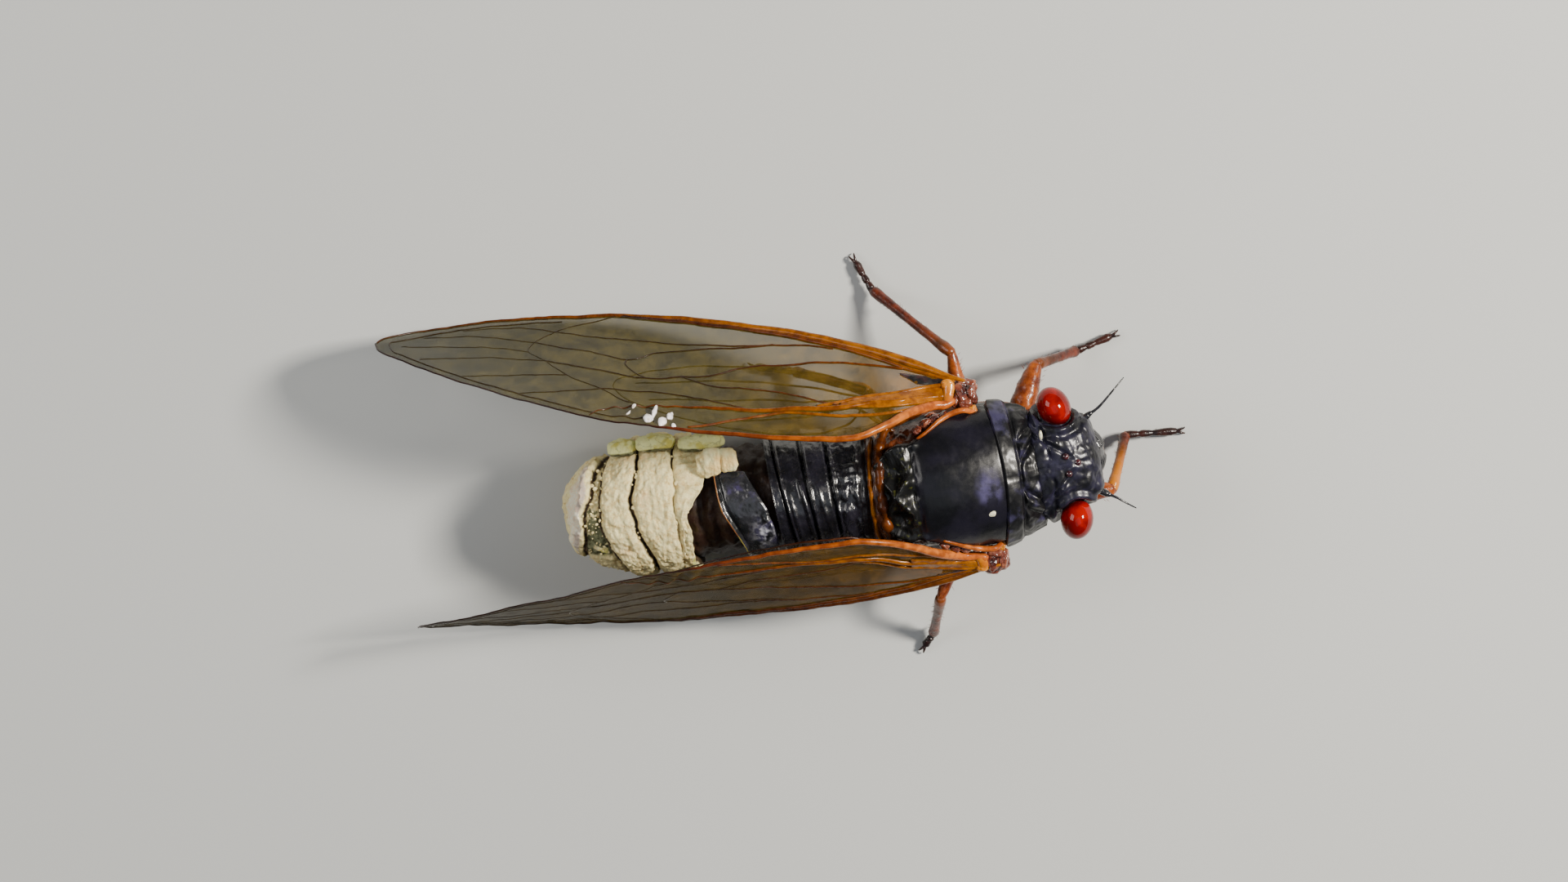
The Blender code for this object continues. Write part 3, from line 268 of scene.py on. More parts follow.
def fall(value, end, width):
    """1 at first, then softly down to 0 over the width before the end."""
    return smoothstep((end - value) / width)


def hump(value, middle, width):
    """1 in the middle, fading away to both sides."""
    return bell((value - middle) / width)


def soft(v, power):
    """A power that keeps the sign, for squarer rounds."""
    return np.sign(v) * np.abs(v) ** power


def curve_through(points, steps):
    """Points on a smooth curve through the given ones, with so many steps to each stretch."""
    p = np.array(points, float)
    ends = np.vstack([2 * p[0] - p[1], p, 2 * p[-1] - p[-2]])
    out = []
    for i in range(len(p) - 1):
        a, b, c, d = ends[i : i + 4]
        for t in np.arange(steps) / steps:
            even = 2 * b + (c - a) * t + (2 * a - 5 * b + 4 * c - d) * t**2
            out.append(0.5 * (even + (3 * b - a - 3 * c + d) * t**3))
    out.append(p[-1])
    return np.array(out)


def spaced(points, step):
    """A smooth curve through the points, cut into even pieces about one step long."""
    fine = curve_through(points, 12)
    run = np.concatenate([[0], np.cumsum(np.linalg.norm(np.diff(fine, axis=0), axis=1))])
    count = max(2, int(round(run[-1] / step)) + 1)
    at = np.linspace(0, run[-1], count)
    return np.stack([np.interp(at, run, fine[:, k]) for k in range(fine.shape[1])], axis=1)


def stretches(*rows):
    """Places from start to end for each start, end and count, without the doubles where they meet."""
    parts = [np.linspace(*row) for row in rows]
    return np.concatenate([part[:-1] for part in parts[:-1]] + parts[-1:])


def posed(points):
    """Turns the head about the neck, and the head and thorax about the waist."""
    p = np.array(points, float)
    for turn, pivot, start, blend in TURNS:
        angle = math.radians(turn) * smoothstep((p[..., 0] - start) / blend)
        dx, y = p[..., 0] - pivot, p[..., 1].copy()
        p[..., 0] = pivot + dx * np.cos(angle) - y * np.sin(angle)
        p[..., 1] = dx * np.sin(angle) + y * np.cos(angle)
    return p


def section_at(stations, x):
    """Half width, top, widest level, bottom and squareness at a place along the body."""
    fine = curve_through(sorted(stations), 8)
    return [np.interp(x, fine[:, 0], fine[:, k]) for k in range(1, 6)]


def body_grid(stations, xs, count):
    """A grid of points round the body, one ring for each place, and the angle of each column."""
    angles = 2 * np.pi * np.arange(count) / count
    half, top, wide, bottom, square = (v[:, None] for v in section_at(stations, np.array(xs)))
    c, s = np.cos(angles)[None], np.sin(angles)[None]
    power = 2.0 / square
    y = half * soft(c, power)
    z = wide + np.where(s > 0, top - wide, wide - bottom) * soft(s, power)
    x = np.repeat(np.array(xs)[:, None], count, axis=1)
    return np.stack([x, y, z], axis=2), np.repeat(angles[None], len(xs), axis=0)


def grid_normals(points, closed=True):
    """Unit normals of a grid of points, away from the middle of its rings if it is closed."""
    along = np.gradient(points, axis=0)
    if closed:
        across = np.roll(points, -1, axis=1) - np.roll(points, 1, axis=1)
    else:
        across = np.gradient(points, axis=1)
    normals = np.cross(along, across)
    normals /= np.maximum(np.linalg.norm(normals, axis=2, keepdims=True), 1e-12)
    if closed:
        out = points - points.mean(axis=1, keepdims=True)
        if (normals * out).sum() < 0:
            normals = -normals
    return normals


def raised(points, lift):
    """A closed grid moved out along its normals."""
    return points + grid_normals(points) * lift[..., None]


def shifted(points, scale, seed):
    """Where each point reads the noise."""
    shift = Vector([seed * step for step in SEED_SHIFT])
    return [Vector(p) * scale + shift for p in points.reshape(-1, 3)]


def rough(points, scale, octaves=4, seed=0.0):
    """Soft noise between about -1 and 1 at every point of a grid."""
    values = [noise.fractal(p, 1.0, 2.0, octaves) for p in shifted(points, scale, seed)]
    return np.array(values).reshape(points.shape[:-1])


def cells(points, scale, seed=0.0):
    """Distance to the nearest of scattered middles and to the second nearest, at every point."""
    near = np.array([noise.voronoi(p)[0][:2] for p in shifted(points, scale, seed)])
    return near.T.reshape(2, *points.shape[:-1])


# Meshes

def grid_mesh(points, closed=True):
    """Points and faces of a grid, either open or closed round its rings and filled at its ends."""
    n, m = points.shape[:2]
    flat = [tuple(p) for p in points.reshape(-1, 3)]
    faces = []
    for i in range(n - 1):
        for k in range(m if closed else m - 1):
            a, b = i * m + k, i * m + (k + 1) % m
            faces.append((a, b, b + m, a + m))
    if closed:
        for i in (0, n - 1):
            flat.append(tuple(points[i].mean(axis=0)))
            for k in range(m):
                faces.append((i * m + k, i * m + (k + 1) % m, len(flat) - 1))
    return flat, faces


def plate_mesh(top, under):
    """Points and faces of a thin plate between two open grids."""
    n, m = top.shape[:2]
    upper, faces = grid_mesh(top, closed=False)
    lower = [tuple(p) for p in under.reshape(-1, 3)]
    count = n * m
    faces += [tuple(i + count for i in reversed(f)) for f in list(faces)]
    edge = [(0, k) for k in range(m)] + [(i, m - 1) for i in range(1, n)]
    edge += [(n - 1, k) for k in range(m - 2, -1, -1)] + [(i, 0) for i in range(n - 2, 0, -1)]
    loop = [i * m + k for i, k in edge]
    for a, b in zip(loop, loop[1:] + loop[:1]):
        faces.append((b, a, a + count, b + count))
    return upper + lower, faces


def join_meshes(parts):
    """One list of points, one of faces and one of values from several."""
    points, faces, values = [], [], []
    for part in parts:
        base = len(points)
        points += part[0]
        faces += [tuple(i + base for i in f) for f in part[1]]
        values += list(part[2]) if len(part) > 2 else [0.0] * len(part[0])
    return points, faces, values


def frame_across(direction):
    d = Vector(direction).normalized()
    level = Vector((0, 0, 1)).cross(d)
    if level.length < 1e-4:
        level = Vector((0, 1, 0))
    level.normalize()
    return d.cross(level).normalized(), level


def tube(path, radii, sides=10, flat=1.0, value=None):
    """Points, faces and values of a tapered tube with rounded ends along a path."""
    path = [Vector(p) for p in path]
    radii = [float(r) for r in radii]
    runs = [(path[min(i + 1, len(path) - 1)] - path[max(i - 1, 0)]).normalized() for i in range(len(path))]
    up, level = frame_across(runs[0])
    rings, values = [], []
    places = [(path[0] - runs[0] * radii[0] * 0.6, 0, 0.55)]
    places += [(p, i, 1.0) for i, p in enumerate(path)]
    places += [(path[-1] + runs[-1] * radii[-1] * 0.6, len(path) - 1, 0.55)]
    for place, i, share in places:
        up = (up - runs[i] * up.dot(runs[i])).normalized()
        level = runs[i].cross(up)
        r = radii[i] * share
        ring = []
        for k in range(sides):
            a = 2 * math.pi * k / sides
            p = place + r * (math.cos(a) * level + math.sin(a) * flat * up)
            ring.append(tuple(p))
        rings.append(ring)
        values += [0.0 if value is None else float(value[i])] * sides
    points, faces = grid_mesh(np.array(rings))
    return points, faces, values + [values[0], values[-1]]


def blob(centre, radii, turn=0.0, count=28, rows=18, power=1.0, bumps=0.0, seed=0.0, value=0.0):
    """Points, faces and values of a rounded lump, squarer for a power under 1."""
    tilt = np.pi * np.arange(1, rows) / rows
    a = 2 * np.pi * np.arange(count) / count
    c, s = np.cos(a)[None], np.sin(a)[None]
    ct, st = np.cos(tilt)[:, None], np.sin(tilt)[:, None]
    c, s, ct, st = (soft(v, power) for v in (c, s, ct, st))
    unit = np.stack([st * c, st * s, ct * np.ones_like(c)], axis=2)
    swell = 1.0 + (bumps * rough(unit, 1.6, 3, seed) if bumps else 0.0)
    local = unit * np.array(radii) * (swell[..., None] if bumps else 1.0)
    ct, st = math.cos(math.radians(turn)), math.sin(math.radians(turn))
    x, y, z = np.moveaxis(local, 2, 0)
    spun = np.stack([x * ct - y * st, x * st + y * ct, z], 2)
    points, faces = grid_mesh(spun + np.array(centre))
    return points, faces, [value] * len(points)


def make_piece(name, mesh, surface, node=None, values=None, place=None):
    """Makes one smooth piece in metres from a mesh or a list of meshes, with the values its surface reads."""
    points, faces, *shares = join_meshes(mesh) if isinstance(mesh, list) else mesh
    points = np.array(points, float)
    if place is not None:
        points = place(points)
    look = SURFACES[surface]
    mesh = bpy.data.meshes.new(name)
    mesh.from_pydata([tuple(p) for p in (points - CENTRE) * MM], [], faces)
    values = {"share": shares[0] if shares else ()} | (values or {})
    for key, given in values.items():
        if key not in look.reads:
            continue
        layer = mesh.attributes.new(key, "FLOAT", "POINT")
        data = np.zeros(len(mesh.vertices), np.float32)
        given = np.asarray(given, np.float32).ravel()
        data[: len(given)] = given
        layer.data.foreach_set("value", data)
    bm = bmesh.new()
    bm.from_mesh(mesh)
    bmesh.ops.recalc_face_normals(bm, faces=bm.faces)
    bm.to_mesh(mesh)
    bm.free()
    mesh.materials.append(look.material)
    mesh.shade_smooth()
    obj = bpy.data.objects.new(name, mesh)
    bpy.context.scene.collection.objects.link(obj)
    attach(obj, "root")
    if node:
        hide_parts(node)


# Surfaces

class Surface:
    """One procedural material for a slot of the row, its coordinates in millimetres."""

    def __init__(self, name, slot, **plain):
        self.material = bpy.data.materials.new(name)
        self.material.use_nodes = True
        self.tree = self.material.node_tree
        self.shader = self.tree.nodes["Principled BSDF"]
        self.slot, self.reads = slot, set()
        for key, value in plain.items():
            self.shader.inputs[key.replace("_", " ")].default_value = value
        place = self.tree.nodes.new("ShaderNodeTexCoord").outputs["Object"]
        self.at = self.node("ShaderNodeVectorMath", "Vector", {0: place, "Scale": 1 / MM}, operation="SCALE")
        SURFACES[name] = self

    def node(self, kind, output, inputs, **settings):
        made = self.tree.nodes.new(kind)
        for key, value in settings.items():
            setattr(made, key, value)
        for key, value in inputs.items():
            if isinstance(value, bpy.types.NodeSocket):
                self.tree.links.new(value, made.inputs[key])
            else:
                made.inputs[key].default_value = value
        return made.outputs[output]

    def noise(self, scale, detail=4.0, rough=0.55, distortion=0.0):
        inputs = {"Vector": self.at, "Scale": scale, "Detail": detail, "Roughness": rough}
        return self.node("ShaderNodeTexNoise", "Fac", inputs | {"Distortion": distortion})

    def cells(self, scale):
        return self.node("ShaderNodeTexVoronoi", "Distance", {"Vector": self.at, "Scale": scale})

    def value(self, name):
        """A value that the piece holds at each point."""
        self.reads.add(name)
        return self.node("ShaderNodeAttribute", "Fac", {}, attribute_name=name)

    def ramp(self, fac, *stops):
        """A colour or grey for each share, blended between. A bare number is the scale of a noise."""
        if not isinstance(fac, bpy.types.NodeSocket):
            fac = self.noise(fac)
        made = self.tree.nodes.new("ShaderNodeValToRGB")
        made.color_ramp.interpolation = "EASE"
        line = made.color_ramp.elements
        while len(line) < len(stops):
            line.new(0.5)
        for step, (share, colour) in zip(line, stops):
            step.position = share
            step.color = (*colour, 1.0) if isinstance(colour, tuple) else (colour, colour, colour, 1.0)
        self.tree.links.new(fac, made.inputs["Fac"])
        return made.outputs["Color"]

    def mix(self, fac, a, b, blend="MIX"):
        a, b = ((*c, 1.0) if isinstance(c, tuple) else c for c in (a, b))
        return self.node("ShaderNodeMix", 2, {0: fac, 6: a, 7: b}, data_type="RGBA", blend_type=blend)

    def lay(self, under, name, over, low=0.3, high=0.8):
        """Covers one tone with another where a point value is high."""
        return self.mix(self.ramp(self.value(name), (low, 0.0), (high, 1.0)), under, over)

    def times(self, fac, b):
        return self.node("ShaderNodeMath", "Value", {0: fac, 1: b}, operation="MULTIPLY")

    def set(self, key, value):
        self.tree.links.new(value, self.shader.inputs[key])

    def paint(self, colour):
        self.set("Base Color", colour)

    def gloss(self, scale, low, high, end=0.7):
        """Roughness between two values, in clouds."""
        self.set("Roughness", self.ramp(scale, (0.3, low), (end, high)))

    def bump(self, *layers):
        """Each layer is a height, its strength and its depth in millimetres."""
        normal = None
        for height, strength, depth in layers:
            inputs = {"Height": height, "Strength": strength, "Distance": depth * MM}
            if normal is not None:
                inputs["Normal"] = normal
            normal = self.node("ShaderNodeBump", "Normal", inputs)
        self.set("Normal", normal)


def chitin(name, slot, gloss, depth, coat, wrinkle, shine, scale=0.8, tones=None):
    """Glossy shell: uneven gloss, fine wrinkles and, if given, two close tones in clouds."""
    s = Surface(name, slot, Coat_Weight=coat, Coat_Roughness=0.12, Specular_IOR_Level=shine)
    if tones:
        s.clouds = s.ramp(s.noise(scale, 5.0, 0.6), (0.35, tones[0]), (0.72, tones[1]))
        s.paint(s.clouds)
    s.gloss(3.0, *gloss, end=0.75)
    wrinkles = s.noise(5.0, 5.0, 0.6, distortion=0.6)
    s.bump((wrinkles, 0.5 * wrinkle, depth * 2), (s.noise(22.0, 3.0), 0.35, depth))
    return s


def make_shells():
    """The black shell of each part of the body, and the legs."""
    tones = (0.004, 0.004, 0.005), (0.014, 0.013, 0.02)
    chitin("shell_black", "shell", (0.14, 0.36), 0.02, 0.5, 1.0, 0.5, 0.8, tones)
    # The head's lighter tone is violet, a painted sheen in clouds.
    tones = (0.005, 0.005, 0.007), (0.022, 0.02, 0.042)
    chitin("shell_head", "shell", (0.27, 0.42), 0.008, 0.1, 0.7, 0.3, 1.1, tones)
    orange = (0.3, (0.16, 0.03, 0.008)), (0.7, (0.4, 0.13, 0.03))

    s = chitin("shell_chest", "shell", (0.32, 0.46), 0.007, 0.1, 0.7, 0.3)
    # The lighter tone of the chest's black is violet, a painted sheen in clouds.
    black = s.ramp(0.7, (0.5, (0.004, 0.004, 0.005)), (0.68, (0.034, 0.03, 0.07)))
    s.paint(s.lay(black, "orange", s.ramp(2.2, *orange), 0.35, 0.6))

    s = chitin("shell_back", "shell", (0.26, 0.38), 0.006, 0.08, 0.5, 0.3)
    black = s.ramp(s.noise(0.35, 3.0), (0.46, (0.003, 0.003, 0.004)), (0.68, (0.008, 0.007, 0.013)))
    # A violet patch over the front middle of the back is a painted sheen, the reflection of the sky.
    violet_sheen_and_shade = s.ramp(0.9, (0.4, (0.012, 0.011, 0.02)), (0.6, (0.06, 0.052, 0.12)))
    black = s.lay(black, "violet_sheen_and_shade", violet_sheen_and_shade, 0.2)
    black = s.lay(black, "rear", s.ramp(3.4, (0.58, (0.005, 0.005, 0.005)), (0.7, (0.04, 0.042, 0.008))))
    black = s.lay(black, "rust", s.ramp(1.6, (0.35, (0.05, 0.012, 0.005)), (0.65, (0.2, 0.05, 0.015))))
    s.paint(s.lay(black, "orange", s.ramp(2.2, *orange), 0.35, 0.6))

    s = chitin("shell_plate", "shell", (0.18, 0.36), 0.012, 0.4, 0.6, 0.5)
    # The lightest tone of the plate is violet, a painted sheen in clouds.
    tones = (0.42, (0.007, 0.008, 0.009)), (0.55, (0.02, 0.02, 0.024)), (0.68, (0.055, 0.045, 0.11))
    black = s.ramp(0.7, *tones)
    # A pale grey-violet swirl near the plate's front is a painted highlight.
    black = s.mix(s.value("painted_swirl_highlight"), black, s.ramp(2.6, (0.4, (0.07, 0.065, 0.12)), (0.6, (0.4, 0.4, 0.46))))
    rim = s.ramp(s.noise(1.3, 3.0), (0.4, (0.3, 0.1, 0.03)), (0.62, (0.5, 0.24, 0.06)))
    rim = s.lay(rim, "yellow", (0.6, 0.5, 0.08), 0.3, 0.7)
    s.paint(s.lay(black, "rim", rim, 0.45, 0.6))

    for name, slot, dark, light in (
        ("thigh", "limb", (0.11, 0.018, 0.004), (0.36, 0.085, 0.012)),
        ("shin", "limb", (0.03, 0.006, 0.004), (0.15, 0.026, 0.009)),
        ("foot", "dark_limb", (0.012, 0.006, 0.006), (0.05, 0.014, 0.009)),
    ):
        s = chitin("leg_" + name, slot, (0.16, 0.38), 0.02, 0.3, 1.0, 0.3, 1.3, (dark, light))
        if name == "shin":
            s.paint(s.lay(s.clouds, "warm", (0.5, 0.16, 0.012), 0.1, 0.9))


def make_eye_surfaces():
    """The faceted eyes and the three simple ones."""
    s = Surface(
        "eye_red", "eye", Coat_Weight=0.3, Coat_Roughness=0.03, Roughness=0.1, Specular_IOR_Level=0.18,
        Subsurface_Weight=0.08, Subsurface_Scale=0.0003, Subsurface_Radius=(1.0, 0.1, 0.05),
    )
    inner = s.ramp(s.noise(0.9, 3.0), (0.38, (0.14, 0.001, 0.0)), (0.62, (0.3, 0.002, 0.0)))
    # Where the rim value is high, at the eye's inner side, the red is darkened to near black: painted shade
    # where the eye sinks into the head.
    s.paint(s.mix(s.value("rim"), inner, (0.05, 0.001, 0.001)))
    s.bump((s.cells(26.0), 0.1, 0.006))

    s = Surface("ocellus", "eye", Coat_Weight=1.0, Coat_Roughness=0.05, Roughness=0.15)
    s.paint(s.ramp(4.0, (0.4, (0.02, 0.003, 0.006)), (0.7, (0.07, 0.006, 0.008))))


def make_wing_surfaces():
    """Membranes, folds painted near white as glints, veins, cords and hinges. The tones run from a wing's
    root to its tip.
    """
    for side, alpha, *tones in (
        (
            "left", 0.54, (0.0, (0.2, 0.085, 0.006)), (0.16, (0.12, 0.074, 0.01)),
            (0.45, (0.085, 0.067, 0.014)), (1.0, (0.06, 0.052, 0.016)),
        ),
        (
            "right", 0.66, (0.0, (0.24, 0.09, 0.003)), (0.2, (0.14, 0.07, 0.005)),
            (0.5, (0.1, 0.062, 0.009)), (1.0, (0.07, 0.05, 0.012)),
        ),
    ):
        plain = {"Alpha": alpha, "Coat_Weight": 0.12, "Coat_Roughness": 0.05, "Specular_IOR_Level": 0.0}
        s = Surface("membrane_" + side, "wing", **plain)
        tint = s.ramp(s.noise(0.9, 5.0, 0.6), (0.35, (0.6, 0.6, 0.55)), (0.7, (1.4, 1.35, 1.2)))
        s.paint(s.mix(1.0, s.ramp(s.value("share"), *tones), tint, "MULTIPLY"))
        s.gloss(2.0, 0.1, 0.26)
        s.bump((s.noise(1.6, 4.0, 0.6, 1.2), 0.9, 0.14), (s.noise(5.0, 4.0, 0.65), 0.8, 0.06))

    # The folds are painted near white: a painted glint.
    s = Surface("fold", "wing", Coat_Weight=0.8, Coat_Roughness=0.06, Roughness=0.2, Specular_IOR_Level=0.7)
    s.paint(s.ramp(3.0, (0.3, (0.5, 0.4, 0.32)), (0.5, (0.98, 0.93, 0.94))))
    s.bump((s.noise(6.0), 0.6, 0.08))

    s = Surface("membrane_hind", "wing", Alpha=0.06, Coat_Weight=0.4, Coat_Roughness=0.1)
    s.paint(s.ramp(0.6, (0.35, (0.13, 0.08, 0.02)), (0.7, (0.26, 0.17, 0.05))))
    s.gloss(2.0, 0.12, 0.32)
    s.bump((s.noise(1.2, 4.0, 0.55, 1.5), 0.7, 0.08))

    # Near black: the opaque basal cell and painted shade under the wing root.
    s = Surface("root_cell_and_shade", "wing", Coat_Weight=0.6, Coat_Roughness=0.15)
    s.paint(s.ramp(s.noise(1.6, 3.0), (0.4, (0.01, 0.008, 0.008)), (0.7, (0.05, 0.02, 0.02))))
    s.gloss(3.0, 0.2, 0.4)

    for name, *tones in (
        (
            "vein", (0.0, (0.26, 0.082, 0.0)), (0.2, (0.21, 0.062, 0.0)), (0.4, (0.12, 0.028, 0.001)),
            (0.58, (0.06, 0.015, 0.003)), (0.8, (0.022, 0.009, 0.004)),
        ),
        (
            "cord", (0.0, (0.4, 0.095, 0.012)), (0.12, (0.42, 0.115, 0.016)), (0.25, (0.25, 0.055, 0.002)),
            (0.42, (0.09, 0.016, 0.003)), (0.6, (0.02, 0.006, 0.003)),
        ),
    ):
        s = Surface(name, "wing", Coat_Weight=0.12, Coat_Roughness=0.1, Specular_IOR_Level=0.15)
        mottle = s.ramp(1.7, (0.35, (0.6, 0.5, 0.5)), (0.65, (1.25, 1.25, 1.3)))
        s.paint(s.mix(1.0, s.ramp(s.value("share"), *tones), mottle, "MULTIPLY"))
        s.gloss(5.0, 0.2, 0.4, 0.75)
        s.bump((s.noise(6.0), 0.5, 0.03))

    s = Surface("hinge", "wing", Coat_Weight=0.5, Coat_Roughness=0.1, Specular_IOR_Level=0.4)
    pink = s.ramp(1.3, (0.36, (0.03, 0.005, 0.004)), (0.5, (0.15, 0.035, 0.018)), (0.68, (0.34, 0.12, 0.065)))
    amber = s.ramp(s.noise(1.4, 3.0), (0.35, (0.42, 0.11, 0.001)), (0.7, (0.62, 0.22, 0.002)))
    s.paint(s.lay(pink, "share", amber, 0.4, 0.6))
    s.gloss(4.0, 0.15, 0.35)
    s.bump((s.noise(2.5, 5.0), 0.6, 0.08))


def make_flesh_surfaces():
    """The waist's skin, the dark stump, the chalky plug and the pale spores."""
    s = Surface("waist", "waist", Coat_Weight=0.4, Coat_Roughness=0.2)
    tones = (0.32, (0.015, 0.005, 0.004)), (0.55, (0.09, 0.022, 0.006)), (0.75, (0.36, 0.15, 0.03))
    s.paint(s.lay(s.ramp(1.5, *tones), "black", (0.01, 0.008, 0.01), 0.4, 0.6))
    s.gloss(4.0, 0.25, 0.5)
    s.bump((s.noise(4.0, 5.0), 0.6, 0.06))

    s = Surface("stump", "stump", Coat_Weight=0.15, Coat_Roughness=0.3)
    tones = (0.3, (0.014, 0.005, 0.003)), (0.55, (0.04, 0.014, 0.006)), (0.75, (0.06, 0.036, 0.008))
    s.paint(s.ramp(s.noise(0.8, 5.0, 0.6), *tones))
    s.gloss(3.0, 0.45, 0.75)
    s.bump((s.noise(3.0, 6.0, 0.65), 0.8, 0.12))

    s = Surface(
        "plug", "plug", Subsurface_Weight=0.1, Subsurface_Scale=0.0004, Subsurface_Radius=(1.0, 0.8, 0.5),
        Specular_IOR_Level=0.3,
    )
    grain = s.noise(3.4, 6.0, 0.75)
    cream = s.ramp(grain, (0.29, (0.42, 0.27, 0.09)), (0.4, (0.88, 0.68, 0.3)), (0.55, (1.0, 0.88, 0.47)))
    blush = s.ramp(s.noise(0.55, 3.0), (0.58, 0.0), (0.74, 1.0))
    cream = s.mix(s.times(blush, 0.25), cream, (0.85, 0.45, 0.25))
    # The rear end is paler and pinker: partly its own colour, partly painted light on the end that faces away
    # from the key lamp.
    pale = s.ramp(grain, (0.3, (0.8, 0.55, 0.35)), (0.44, (1.0, 0.83, 0.58)), (0.58, (1.0, 0.96, 0.76)))
    cream = s.lay(cream, "pale", pale)
    # Just behind the last groove the cream is greyed towards mauve: painted shade along the inner edge of the
    # pale end.
    cream = s.mix(s.times(s.value("violet_sheen_and_shade"), 0.7), cream, (0.42, 0.31, 0.28))
    moss = s.ramp(s.noise(1.2, 3.0), (0.34, (0.78, 0.7, 0.16)), (0.56, (1.0, 1.0, 0.44)))
    cream = s.lay(cream, "moss", moss, 0.3, 0.7)
    # An olive tone: the plug's own colour in its sunken band, and painted shade along the lobes' lower side.
    olive_and_shade = s.ramp(2.6, (0.36, (0.09, 0.09, 0.04)), (0.56, (0.24, 0.25, 0.13)), (0.7, (0.6, 0.55, 0.34)))
    cream = s.lay(cream, "olive_and_shade", olive_and_shade, 0.3, 0.7)
    peach = s.ramp(s.noise(0.9, 2.0), (0.3, (1.0, 0.7, 0.28)), (0.6, (1.0, 0.94, 0.52)))
    cream = s.lay(cream, "peach", peach, 0.3, 0.7)
    # Grooves, cracks and dents are darkened to dark brown: painted shade.
    groove_shade = s.ramp(3.0, (0.35, (0.02, 0.01, 0.005)), (0.7, (0.1, 0.06, 0.03)))
    s.paint(s.lay(cream, "groove", groove_shade, 0.2, 0.75))
    s.gloss(6.0, 0.7, 0.95)
    lumps, crumbs = s.noise(3.6, 6.0, 0.75), s.noise(12.0, 4.0, 0.7)
    s.bump((lumps, 0.9, 0.14), (crumbs, 0.8, 0.06), (s.cells(6.0), 0.4, 0.06))

    s = Surface("spore", "plug", Specular_IOR_Level=0.5, Roughness=0.3, Coat_Weight=0.4)
    s.paint(s.ramp(8.0, (0.3, (0.55, 0.5, 0.33)), (0.7, (0.85, 0.82, 0.62))))


# Head

def build_head():
    """Head skin with its grooves and rims."""
    rear, front = HEAD_REAR_X - 0.4, HEAD[-1][0]
    xs = rear + (front - rear) * np.sin(np.pi / 2 * np.linspace(0, 1, 110))
    p, _ = body_grid(HEAD, xs, 220)
    x, y, z = np.moveaxis(p, 2, 0)
    up = rise(z, 7.6, 0.9)
    side = np.abs(y)
    eye_x, eye_y, eye_z = EYE_CENTRE
    eye = np.sqrt(((x - eye_x) / 1.02) ** 2 + ((side - eye_y) / 1.2) ** 2 + ((z - eye_z) / 1.2) ** 2)
    lift = -0.08 * bell(y / 0.1) * up * fall(x, 8.1, 0.5)
    lift += 0.14 * hump(eye, 1.3, 0.14) - 0.3 * fall(eye, 1.16, 0.12) - 0.1 * hump(eye, 1.62, 0.14)
    lift += 0.22 * hump(x, 8.0, 0.42) * hump(side, 1.75, 0.55) * hump(z, 8.0, 0.6)
    lift -= 0.14 * bell((side - 0.55 - 0.85 * (6.9 - x)) / 0.16) * up * fall(x, 7.3, 0.4)
    lift -= 0.14 * bell((x - 5.75 - 0.1 * np.sin(side * 2.0)) / 0.14) * up * rise(side, 0.3, 0.4)
    lift += 0.12 * hump(x, 7.0, 0.45) * bell(side / 0.75) * up
    lift += 0.1 * hump(x, 6.3, 0.3) * hump(side, 1.35, 0.45) * up
    near, second = cells(p, 1.5, 2.0)
    lift += 0.09 * np.minimum(second - near, 0.4) * up
    lift += 0.1 * rough(p, 0.8, 3) + 0.025 * rough(p, 2.4, 3, 1.0)
    lift -= 0.25 * fall(x, 5.15, 0.4)
    lift *= fall(x, 8.66, 0.12)
    p = posed(raised(p, lift))
    make_piece("head_skin", grid_mesh(p), "shell_head", "head")


def build_eyes():
    """The two faceted eyes and the three simple ones."""
    eye_x, eye_y, eye_z = EYE_CENTRE
    for side_name, sign in (("left", 1), ("right", -1)):
        centre = (eye_x, sign * eye_y - (0.0 if sign > 0 else 0.12), eye_z)
        ball = blob(centre, EYE_RADII, sign * EYE_TURN, count=72, rows=48)
        # The rim value marks the eye's inner side, for the painted shade where it meets the head.
        rim = fall(np.abs(np.array(ball[0])[:, 1]), 2.62, 0.4)
        make_piece("eye_ball_" + side_name, ball, "eye_red", "eye_" + side_name, {"rim": rim}, posed)
    dots = [blob((x, y, z + 0.08), (0.2, 0.2, 0.18), count=24, rows=16) for x, y, z in OCELLI]
    make_piece("ocelli", dots, "ocellus", None, None, posed)


def build_face():
    """The ribbed face with its lip and cheeks."""
    tilt = np.pi * np.arange(1, 110)[:, None] / 110
    a = 2 * np.pi * np.arange(120) / 120
    unit = np.stack([np.sin(tilt) * np.cos(a), np.sin(tilt) * np.sin(a), np.cos(tilt) * np.ones_like(a)], 2)
    side = np.abs(unit[..., 1])
    folds = np.abs(np.cos(np.pi * 7 * unit[..., 2] + 0.5 * side)) ** 0.6
    ridge = 0.075 * folds * np.maximum(unit[..., 0], 0.0) * rise(side, 0.1, 0.12)
    swell = 1.0 + ridge + 0.012 * rough(unit, 5.0, 4)
    face = grid_mesh(unit * np.array(CLYPEUS_RADII) * swell[..., None] * 0.985 + np.array(CLYPEUS_CENTRE))
    cheeks = [blob((7.2, s * 1.6, 5.7), (0.85, 0.5, 1.15), bumps=0.06, seed=s) for s in (1, -1)]
    lip = blob((7.1, 0, 4.35), (0.62, 0.55, 0.6), bumps=0.05, seed=3.0)
    make_piece("face", [face, lip] + cheeks, "shell_black", "clypeus", None, posed)


